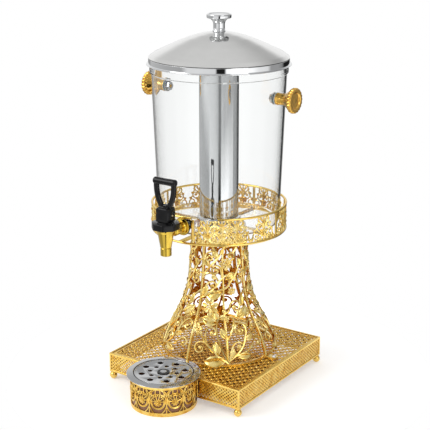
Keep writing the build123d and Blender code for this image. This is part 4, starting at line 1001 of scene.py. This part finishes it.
class DISPENSER_OT_gallery(bpy.types.Operator):
    """Make the gallery: two rails, the bars, the openwork scrolls and the spider that carries the tank"""
    bl_idname = "dispenser.gallery"
    bl_label = "Gallery"

    def execute(self, context):
        size = context.scene.dispenser_gallery
        half = size.wire / 2
        turns = [math.radians(30 * step) for step in range(13)]

        def wire_line(level):
            return [(size.radius + half * math.cos(turn), level + half * math.sin(turn)) for turn in turns]
        hooked(spun("rail_bottom", wire_line(size.bottom), 128), "pedestal", GOLD, "gallery_bottom_rail")
        opening = math.degrees(size.opening)
        rail = spun("rail_top", wire_line(size.top), 128, turn=360 - 2 * opening, start=opening - 90)
        hooked(rail, "pedestal", GOLD, "gallery_top_rail")
        kept("gallery_posts", "upright_bars", GOLD, 0.0005)
        kept("support_spider", "spider_arms", GOLD, 0.0006)

        low, high = size.bottom + half, size.top - half
        on_ring = ring_place(size.radius)

        def at(x, y):
            return x * MOTIF_WIDTH, low + y * (high - low)
        leaf, petal, bead = templates()
        parts = [laid(leaf, at(side * x, y), at(side * tip_x, tip_y), width * MOTIF_WIDTH, on_ring)
                 for (x, y), (tip_x, tip_y), width in MOTIF_LEAVES for side in (1, -1)]
        for middle, radius, petals in MOTIF_FLOWERS:
            parts += blossom(petal, bead, at(*middle), radius * MOTIF_WIDTH, petals, on_ring)
        parts += [beaded(bead, at(side * x, y), radius * MOTIF_WIDTH, on_ring)
                  for (x, y), radius in MOTIF_BUDS for side in (1, -1)]
        sheet = smoothed(leafy("motif_leaves", parts, 0.0009), 60)
        paths = [tapered([on_ring(*at(side * x, y), 0.0) for x, y in path], 1.0, 0.3)
                 for side, traced in ((1, MOTIF_PATHS), (-1, MOTIF_PATHS[1:])) for path in traced]
        motif = joined("motif", rods("motif_scrolls", paths, size.scroll, 1, 3), sheet)
        for side, angles in MOTIF_ANGLES.items():
            scrolls = joined(f"scrolls_{side}", *(copied(motif, turned(angle)) for angle in angles))
            # Painted shade: the scrolls' inward faces take the darker cast gold
            painted_shade_inwards(hooked(scrolls, "pedestal", TOWER_GOLD, f"gallery_filigree_{side}"), CAST_GOLD)
        dropped(motif, leaf, petal, bead)
        return {"FINISHED"}


class DISPENSER_OT_tank(bpy.types.Operator):
    """Make the clear tank with its thick collar, and the steel ice tube in it"""
    bl_idname = "dispenser.tank"
    bl_label = "Tank and Ice Tube"

    def execute(self, context):
        size = context.scene.dispenser_tank
        foot, mouth, wall = size.foot_radius, size.mouth_radius, size.wall
        bottom, top, floor = size.bottom, size.top, size.bottom + size.floor
        collar, step = size.collar_radius, top - size.collar_height

        def side(share, inset=0.0):
            """A point of the tapered side, or of its inner face."""
            return foot + (mouth - foot) * share - inset, bottom + (top - bottom) * share
        line = above(bottom, (0, 0), (foot - 0.006, 0), (foot - 0.0018, 0.0018), (foot + 0.0002, 0.006))
        line += [side(0.25), side(0.5), side(0.75), (mouth - 0.0007, step), (collar, step + 0.0008),
                 (collar, top), (mouth - wall, top), side(0.75, wall), side(0.5, wall), side(0.25, wall),
                 (foot - wall, floor), (0, floor)]
        lathed("clear_tank", line, 0.0016, CLEAR, "tank", bends=4)

        # Ice tube with a flange on the floor and a threaded stud below it
        tube, rise, stud, seat = size.tube_radius, size.tube_top, 0.005, floor + 0.001
        flange, tip = tube + 0.004, seat - 0.026
        line = above(tip, (0, 0), (stud - 0.0008, 0), (stud, 0.0008))
        line += above(seat, (stud, 0), (flange, 0), (flange, 0.002), (tube, 0.0028))
        line += [(tube, rise), (tube - 0.001, rise)] + above(seat, (tube - 0.001, 0.002), (0, 0.002))
        lathed("steel_ice_tube", line, 0.0006, MIRROR, "ice_tube")
        return {"FINISHED"}


# Dome of the lid, as shares of the band's radius and of the dome's rise
DOME_SHARES = ((0.985, 0.05), (0.95, 0.135), (0.8, 0.335), (0.62, 0.565), (0.444, 0.764), (0.3, 0.885),
               (0.18, 0.96), (0.084, 1.0))


class DISPENSER_OT_lid(bpy.types.Operator):
    """Make the steel lid and its knob"""
    bl_idname = "dispenser.lid"
    bl_label = "Lid"

    def execute(self, context):
        size = context.scene.dispenser_lid
        band, flange, bottom, crease, apex = (
            size.band_radius, size.flange_radius, size.bottom, size.band_top, size.apex)
        sheet, groove = 0.0008, 0.0006
        edge = flange - 0.0012
        rim = above(bottom, (edge, 0), (flange, 0.0006), (flange - 0.0004, 0.0014), (band + 0.0004, 0.0014),
                    (band, 0.0022), (band, 0.0034))
        fold = above(crease, (band, -0.0016), (band, -0.0005), (band - groove, -0.0005),
                     (band - groove, 0.0005))
        dome = [(band * x, crease + (apex - crease) * y) for x, y in DOME_SHARES]
        line = softened(rim, 0.0005, 2) + softened(fold, 0.0004, 2)
        line += softened([(band, crease + 0.0005), *dome, (0.0, apex)], 0.003, 4)
        line += [(0.0, apex - sheet)] + [(radius - sheet, level - sheet) for radius, level in reversed(dome)]
        line += [(band - sheet, crease), (band - sheet, bottom), (edge, bottom)]
        lid = hooked(spun("lid_dome", line, 128), "lid", SATIN, "lid_shell")

        def reach(face):
            return math.hypot(*face.center.xy)
        painted(lid, MIRROR, lambda face: face.center.z < crease - 0.001 and reach(face) > band - 0.0004)
        # Painted shade: the inner wall of the groove at the top of the band is painted black
        painted(lid, BLACK, lambda face: abs(face.center.z - crease) < 0.00045
                and abs(reach(face) - band + groove) < 0.0003)

        top = size.knob_top - 0.0018
        under = top - 0.0064
        line = above(apex, (0, 0), (0.0108, 0), (0.0104, 0.001), (0.0095, 0.0024), (0.0092, 0.005))
        line += above(under, (0.0092, -0.0088), (0.0102, -0.0054), (0.0132, -0.0019), (0.0188, -0.0002),
                      (0.0196, 0.0006))
        line += above(top, (0.0196, -0.0009), (0.0187, 0), (0.0174, 0), (0.0164, -0.001), (0.006, -0.0014),
                      (0, -0.0014))
        lathed("lid_handle_knob", line, 0.0012, MIRROR, "lid_knob", "lid", steps=64)
        return {"FINISHED"}


class DISPENSER_OT_carry_knobs(bpy.types.Operator):
    """Make the two scalloped gold knobs by which the tank is carried"""
    bl_idname = "dispenser.carry_knobs"
    bl_label = "Carrying Knobs"

    def execute(self, context):
        size = context.scene.dispenser_knobs
        root, edge, face = size.root, size.radius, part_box("carry_knobs")[1][0]
        line = above(root, (0, 0), (0.0095, 0), (0.0098, 0.0015), (0.0092, 0.004), (0.009, 0.011),
                     (0.0098, 0.016), (0.0125, 0.0195), (edge * 0.8, 0.0245))
        line += above(face, (edge, -0.0062), (edge, -0.0012), (edge - 0.0012, 0), (0.0138, 0),
                      (0.0125, -0.0008), (0.0115, -0.0026), (0.0085, -0.0022), (0.0052, -0.0026),
                      (0, -0.0018))
        knob = spun("carry_knob", softened(line, 0.0012, 2), size.lobes * 6)

        def scalloped(co):
            """Draws the rim of the disc in between the lobes."""
            inner, width, deepest = 0.0155, 0.004, 0.17
            depth = min(1.0, max(0.0, (math.hypot(co.x, co.y) - inner) / width))
            wave = 0.5 - 0.5 * abs(math.cos(size.lobes / 2 * math.atan2(co.y, co.x)))
            shrink = 1 - deepest * depth * wave
            return Vector((co.x * shrink, co.y * shrink, co.z))
        smoothed(moved(knob, scalloped), 45)
        start, stem = 0.0972, 0.003
        stems = spun("carry_stem", [(0.0, start), (stem, start), (stem, root), (0.0, root)], 24)
        twins = [copied(piece, shifted(0, 0, size.level) @ turned(side, "Y"))
                 for side in (90, -90) for piece in (knob, stems)]
        dropped(knob, stems)
        hooked(joined("carrying_knobs_scalloped", *twins), "pedestal", KNOB_GOLD, "carry_knobs")
        kept("carry_knob_gaskets", "knob_washers", SILICONE, 0.0002)
        return {"FINISHED"}


class DISPENSER_OT_tap(bpy.types.Operator):
    """Make the tap: gold body and shank, bonnet, stem collar and the black looped handle"""
    bl_idname = "dispenser.tap"
    bl_label = "Tap"

    def execute(self, context):
        size = context.scene.dispenser_tap
        y = -size.offset
        axis = (0.0, y)
        lip, radius, body, top = size.lip_level, size.lip_radius, size.body_radius, size.body_top
        shoulder = lip + 0.013
        line = above(lip, (0.0065, 0), (radius - 0.0006, 0), (radius, 0.0006))
        line += above(shoulder, (radius, -0.0006), (radius - 0.0007, 0), (radius + 0.0001, 0.0008))
        line += above(top, (body - 0.0012, -0.0062), (body, -0.0035), (body, 0), (0.012, 0), (0.012, 0.0072),
                      (0.0095, 0.0072))
        line += above(size.level, (0.0095, -0.007), (0.005, -0.012), (0.0065, -0.017)) + [(0.0065, lip)]
        cone = spun("tap_cone", softened(line, 0.0006, 2), 96, axis)
        back, seat, end = -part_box("tap_body")[1][1], -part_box("tap_washer")[0][1], size.offset - 0.0138
        line = [(0.0045, back), (0.0078, back)]
        line += above(seat, (0.0078, 0), (0.0136, 0), (0.014, 0.0004), (0.014, 0.0014), (0.0132, 0.002),
                      (0.0096, 0.0026), (0.0082, 0.0044), (0.0082, 0.0126), (0.0098, 0.0138))
        line += above(end, (0.0098, -0.006), (0.0082, -0.0045), (0.0078, 0), (0.0045, 0)) + [(0.0045, back)]
        shank = spun("tap_shank", softened(line, 0.0005, 2), 64)
        shank.data.transform(shifted(0, 0, size.level) @ turned(90, "X"))
        # Painted shade: the body takes the darker tap gold in place of the dark streaks it mirrors
        hooked(smoothed(joined("tap_cone", cone, weld(shank))), "pedestal", TAP_PAINTED_SHADE_GOLD, "tap_body")
        kept("tap_bonnet", "bonnet_octagon", BLACK, 0.0012, 30)
        kept("tap_washer", "shank_washer", BLACK)
        kept("tap_shank_nut", "shank_nut_hex", BLACK, 0.0005)

        # Heel: a square block with sloped shoulders and a shallow recess in front and at the back
        bottom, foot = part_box("tap_handle")[0][2], size.heel_top
        heel = set_place(added(
            "handle_heel", bpy.ops.mesh.primitive_cube_add, size=1.0, location=(0, y, (bottom + foot) / 2),
            scale=(size.heel, size.heel, foot - bottom)))
        edit(heel)
        up, front = Vector((0, 0, 1)), Vector((0, -1, 0))
        for side, inset, push in ((up, 0.0035, 0.0024), (up, 0.0015, 0), (front, 0.0036, -0.0012),
                                  (-front, 0.0036, -0.0012), (-up, 0.003, 0)):
            pick_faces(heel, lambda _, normal: normal.dot(side) > 0.9)
            bpy.ops.mesh.inset(thickness=inset)
            bpy.ops.transform.translate(value=side * push)
        leave()
        smoothed(modified(heel, "BEVEL", width=0.0012, segments=3, limit_method="ANGLE",
                          angle_limit=math.radians(25)))

        # Loop: two legs that meet in a U above the heel, under a round bar
        bar, end = size.bar_level, size.bar_length / 2
        right = above(foot, (0.0062, 0.0026), (0.0116, 0.011), (0.015, 0.021), (0.0163, 0.031))
        right.append((0.0166, bar))
        legs = [(-x, z) for x, z in reversed(right)] + [(0.0, foot + 0.0014)] + right
        loop = rods("handle_loop", [tapered([(x, 0, z) for x, z in legs])], 0.0044, 4, 8)
        loop.data.transform(shifted(0, y, 0))
        tip = above(end, (0.0056, -0.008), (0.0057, -0.0031), (0.0052, -0.0013), (0.0036, -0.0002), (0, 0))
        line = [(reach, -across) for reach, across in reversed(tip)] + [(0.0053, 0.0)] + tip
        cross = spun("handle_bar", softened(line, 0.0008, 2), 32)
        cross.data.transform(shifted(0, y, bar) @ turned(90, "Y"))
        line = above(foot, (0, 0.0012), (0.0092, 0.0012), (0.0092, 0.0028), (0.0066, 0.005), (0, 0.005))
        ring = spun("handle_collar", softened(line, 0.0008, 2), 48, axis)
        handle = joined("handle_loop", loop, weld(cross), ring, heel)
        hooked(smoothed(handle, 40), "handle", BLACK, "tap_handle")
        return {"FINISHED"}


class DISPENSER_OT_drip_cup(bpy.types.Operator):
    """Make the drip cup: openwork shell with rosettes, liner, steel flange and grate"""
    bl_idname = "dispenser.drip_cup"
    bl_label = "Drip Cup"

    def execute(self, context):
        size = context.scene.dispenser_cup
        axis = (0.0, -size.offset)
        height, inner, mid = size.height, size.radius - size.sheet, size.radius - size.sheet / 2
        bands = [spun("cup_band", softened(ring_line(inner, size.radius, low, high), 0.0004, 2), 96, axis)
                 for low, high in ((0.0, size.band), (height - size.band, height))]
        leaf, petal, bead = templates()
        on_cup = ring_place(mid, size.offset)
        pitch, middle, overlap = 2 * math.pi * mid / size.rosettes, height * 0.47, 0.0005
        foot, head = size.band - overlap, height - size.band + overlap
        rose, ring, beads, hoop = 0.0064, 0.0112, 0.0135, 0.0148
        turns = (15, 45, 75, 105, 135, 165)
        blades, wires = [], []

        def wire(*points):
            """Adds a wire through points of (across, level)."""
            wires.append(tapered([on_cup(across, level, 0.0) for across, level in points]))
        first_turn = math.radians(26.6)
        for number in range(size.rosettes):
            start = number * pitch + first_turn * mid

            def at(reach, degrees):
                """The point at a distance and a turn from the middle of a rosette."""
                turn = math.radians(degrees)
                return start + reach * math.cos(turn), middle + reach * math.sin(turn)

            def arc(radius, first, last, steps):
                wire(*(at(radius, first + (last - first) * step / steps) for step in range(steps + 1)))
            arc(ring, -90, 270, 16)
            arc(ring - 0.0016, 160, 380, 12)
            blades += blossom(petal, bead, (start, middle), rose, 8, on_cup)
            for turn in turns:
                wire(at(rose * 0.8, turn), at(ring, turn), at(hoop, turn))
                if 20 < turn < 160:
                    across, level = at(hoop, turn)
                    wire((across, level), (start + (across - start) * 0.92, min(head, level + 0.009)))
            for first, last in zip(turns, turns[1:]):
                arc(hoop, first, last, 3)
            blades += [beaded(bead, at(beads, turn), 0.0014, on_cup) for turn in (60, 90, 120)]
            side = start + pitch / 2
            wire((side, foot), (side, middle * 0.6), (side, middle + 0.004))
            blades.append(laid(leaf, (side, middle - 0.005), (side, middle + 0.013), 0.0052, on_cup))
            for way in (1, -1):
                wire((side, middle - 0.006), (side + way * 0.0035, foot + 0.005), (side + way * 0.008, foot))
                wire((side, middle + 0.01), (side + way * 0.004, head - 0.004), (side + way * 0.009, head))
                tip = side + way * 0.0052, head
                blades.append(laid(leaf, (side, middle + 0.012), tip, 0.0042, on_cup))
        sheet = smoothed(leafy("cup_rosettes", blades, 0.0009), 60)
        rings = rods("cup_rings", wires, 0.00085, 1, 2)
        hooked(joined("cup_openwork", *bands, sheet, rings), "drip_cup", CAST_GOLD, "drip_cup_shell")
        dropped(leaf, petal, bead)

        low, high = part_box("drip_cup_liner")
        reach, floor, top, wall = (high[0] - low[0]) / 2, low[2], high[2], 0.001
        line = [(0, floor), (reach, floor), (reach, top), (reach - wall, top), (reach - wall, floor + wall),
                (0, floor + wall)]
        lathed("cup_liner_pot", line, 0.0008, LINER, "drip_cup_liner", "drip_cup", steps=96, centre=axis)

        low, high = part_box("drip_rim")
        floor, top, rim, well, ledge = low[2], high[2], size.rim_radius, size.well_radius, 0.0446
        line = above(floor, (ledge, 0), (well + 0.0012, 0))
        line += above(height, (well + 0.0012, 0.0008), (rim - 0.0006, 0), (rim, 0.0006),
                      (rim - 0.0006, 0.0012))
        line += above(top, (well + 0.0022, -0.0002), (well + 0.0008, 0), (well, -0.0006))
        line += above(floor, (well, 0.0012), (ledge, 0.0012), (ledge, 0))
        flange = lathed("cup_flange", line, 0.0005, CUP_STEEL, "drip_rim", "drip_cup", 2, centre=axis)
        # Painted shade: the inner wall and ledge of the well are painted black
        painted(flange, BLACK, lambda face: (face.center.xy - Vector(axis)).length < well + 0.0002
                and face.center.z < top - 0.0007)

        # Grate, drawn in a little from the well, with a bright disc as its hub in a thin dark ring that is
        # painted shade for the hub's recess
        grate, top = polished("drip_grate", "grate_plate", 0.0003, 30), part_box("drip_grate")[1][2]
        share = 0.984
        scaled = Matrix.Diagonal((share, share, 1, 1))
        grate.data.transform(shifted(*axis, 0) @ scaled @ shifted(0, size.offset, 0))
        hooked(grate, "grate", CUP_STEEL, "drip_grate")
        ring = spun("hub_painted_shade_ring", ring_line(0.005, 0.0098, top, top + 0.0002), 48, axis)
        line = above(top, (0, 0), (0.0054, 0), (0.0054, 0.0005), (0.004, 0.0006), (0, 0.0005))
        hub = spun("hub_disc", softened(line, 0.0003, 2), 48, axis)
        for piece, (name, _) in ((ring, BLACK), (hub, CUP_STEEL)):
            piece.data.materials.append(bpy.data.materials[name])
        joined("grate_plate", grate, ring, hub)
        return {"FINISHED"}


# Studio walls as shares of a turn and their greys: low, at the horizon, and high
LOW_BANDS = (
    (0, 1), (0.05, 1), (0.08, 0.5), (0.3, 0.62), (0.34, 0.32), (0.45, 0.3), (0.46, 0.015), (0.545, 0.015),
    (0.565, 0.3), (0.6, 0.42), (0.65, 0.42), (0.67, 1), (0.72, 1.1), (0.76, 1.5), (0.872, 1.6),
    (0.88, 0.015), (0.914, 0.015), (0.922, 0.95), (1, 1),
)
MIDDLE_BANDS = (
    (0, 0.9), (0.15, 1), (0.3, 0.95), (0.38, 1), (0.45, 1), (0.5, 0.75), (0.6, 0.42), (0.7, 0.55),
    (0.86, 0.75), (0.89, 0.2), (0.93, 0.75), (1, 0.9),
)
HIGH_BANDS = (
    (0, 0.85), (0.15, 0.9), (0.3, 0.75), (0.4, 0.66), (0.5, 0.45), (0.6, 0.4), (0.7, 0.55), (0.86, 0.75),
    (0.89, 0.3), (0.93, 0.75), (1, 0.85),
)
WHITE = (1.0, 1.0, 1.0, 1.0)
CEILING = (0.78, 0.78, 0.78, 1.0)
# Name, place, size and power of the lamps
LAMPS = (("key_softbox", (-1.4, -1.8, 1.9), 1.4, 26.0), ("fill_softbox", (2.2, -0.9, 1.3), 1.2, 10.0),
         ("back_softbox", (0.9, 1.5, 2.5), 1.2, 6.0))


def painted_floor(context):
    """Makes the floor's paint: a painted shadow, dark and without glow, under the base, and white where the
    camera looks.
    """
    tone, base = context.scene.dispenser_colours, context.scene.dispenser_base
    material, tree = new_material("studio_floor_paint")
    place = wired(tree, "TexCoord").outputs["Object"]
    middle = Vector((0, (base.back - base.front) / 2, 0))
    offset = wired(tree, "VectorMath", {0: place, 1: middle}, operation="SUBTRACT").outputs["Vector"]
    away = wired(tree, "VectorMath", {0: offset}, operation="ABSOLUTE").outputs["Vector"]
    sides = wired(tree, "SeparateXYZ", {0: away}).outputs
    # Painted shadow: inside the base's footprint the floor is dark and gives no glow
    shade_start, shade_end, fade_start, fade_end, dimmest = 0.088, 0.1, 0.24, 0.35, 0.32
    outside = ranged(tree, reckoned(tree, "MAXIMUM", sides["X"], sides["Y"]), shade_start, shade_end)
    reach = wired(tree, "VectorMath", {0: place}, operation="LENGTH").outputs["Value"]
    fade = ranged(tree, reach, fade_start, fade_end, dimmest)
    # One where the camera looks, straight or by way of metal or glass, and nought for light on the object
    rays = wired(tree, "LightPath").outputs
    seen = reckoned(tree, "MAXIMUM", rays["Is Camera Ray"], rays["Is Glossy Ray"])
    seen = reckoned(tree, "MAXIMUM", seen, rays["Is Transmission Ray"])
    glow = reckoned(tree, "MULTIPLY", reckoned(tree, "MULTIPLY", fade, outside), seen)
    fed(tree, tree.nodes["Principled BSDF"], {
        "Base Color": blended(tree, outside, (*tone.under, 1.0), (*tone.floor, 1.0)), "Roughness": 0.8,
        "Specular IOR Level": 0.1, "Emission Color": WHITE, "Emission Strength": glow})
    return material


def studio_world(scene):
    """Walls for the metal to mirror, and white where the camera looks past the object."""
    scene.world = scene.world or bpy.data.worlds.new("studio")
    scene.world.use_nodes = True
    tree = scene.world.node_tree
    tree.nodes.clear()
    split = wired(tree, "SeparateXYZ", {0: wired(tree, "TexCoord").outputs["Generated"]}).outputs
    around = ranged(tree, reckoned(tree, "ARCTAN2", split["X"], split["Y"]), -math.pi, math.pi)
    low, middle, high = (ramped(tree, around, [(stop, (grey, grey, grey)) for stop, grey in bands])
                         for bands in (LOW_BANDS, MIDDLE_BANDS, HIGH_BANDS))
    walls = low
    for start, end, above in ((-0.1, -0.03, middle), (0.32, 0.48, high), (0.6, 0.9, CEILING)):
        walls = blended(tree, ranged(tree, split["Z"], start, end), walls, above)
    rays = wired(tree, "LightPath").outputs
    straight = reckoned(tree, "GREATER_THAN", 0.5, rays["Glossy Depth"])
    through = reckoned(tree, "MULTIPLY", rays["Is Transmission Ray"], straight)
    seen = reckoned(tree, "MAXIMUM", rays["Is Camera Ray"], through)
    glow = wired(tree, "Background", {"Color": blended(tree, seen, walls, WHITE), "Strength": 1.0})
    wired(tree, "OutputWorld", {0: glow.outputs[0]})


class DISPENSER_OT_stage(bpy.types.Operator):
    """Make the floor, the studio light and the camera"""
    bl_idname = "dispenser.stage"
    bl_label = "Stage"

    def execute(self, context):
        floor = disc("studio_floor", 128, 0.36)
        floor.data.materials.append(painted_floor(context))
        studio_world(context.scene)

        middle = Vector((0, 0, 0.3))
        for name, place, size, power in LAMPS:
            bpy.ops.object.light_add(type="AREA", location=place)
            lamp = called(name)
            lamp.data.size = size
            lamp.data.energy = power
            lamp.visible_glossy = name != "back_softbox"
            lamp.rotation_euler = (middle - Vector(place)).to_track_quat("-Z", "Y").to_euler()

        context.scene.view_settings.view_transform = "Standard"
        turn, tilt, reach, height = math.radians(34.16), math.radians(90 - 16.82), 1.77148, 0.8114
        bpy.ops.object.camera_add(location=(reach * math.sin(turn), -reach * math.cos(turn), height),
                                  rotation=(tilt, 0.0, turn))
        camera = called("photo_camera")
        camera.data.sensor_width = 36.0
        camera.data.lens = 93.59
        camera.data.shift_x = -0.00944
        context.scene.camera = camera
        return {"FINISHED"}


OPERATORS = (
    DISPENSER_OT_finishes, DISPENSER_OT_stage, DISPENSER_OT_base_walls, DISPENSER_OT_flower_plate,
    DISPENSER_OT_tower, DISPENSER_OT_gallery, DISPENSER_OT_tank, DISPENSER_OT_lid, DISPENSER_OT_carry_knobs,
    DISPENSER_OT_tap, DISPENSER_OT_drip_cup,
)


class DISPENSER_PT_pieces(bpy.types.Panel):
    """Lists the sizes, the colours and the pieces of the dispenser"""
    bl_idname = "DISPENSER_PT_pieces"
    bl_label = "Juice Dispenser"
    bl_space_type = "VIEW_3D"
    bl_region_type = "UI"
    bl_category = "Dispenser"

    def draw(self, context):
        layout = self.layout
        for operator in OPERATORS:
            layout.operator(operator.bl_idname)
        for group in GROUPS:
            holder = getattr(context.scene, group)
            box = layout.box()
            box.label(text=group.replace("dispenser_", "").title())
            for key in holder.__annotations__:
                box.prop(holder, key)


def register():
    for group, kind in GROUPS.items():
        bpy.utils.register_class(kind)
        setattr(bpy.types.Scene, group, PointerProperty(type=kind))
    for operator in OPERATORS:
        bpy.utils.register_class(operator)
    bpy.utils.register_class(DISPENSER_PT_pieces)


def unregister():
    bpy.utils.unregister_class(DISPENSER_PT_pieces)
    for operator in reversed(OPERATORS):
        bpy.utils.unregister_class(operator)
    for group, kind in GROUPS.items():
        delattr(bpy.types.Scene, group)
        bpy.utils.unregister_class(kind)


def main():
    """Registers the add-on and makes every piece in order."""
    register()
    for operator in OPERATORS:
        family, action = operator.bl_idname.split(".")
        getattr(getattr(bpy.ops, family), action)()


if __name__ == "__main__":
    main()
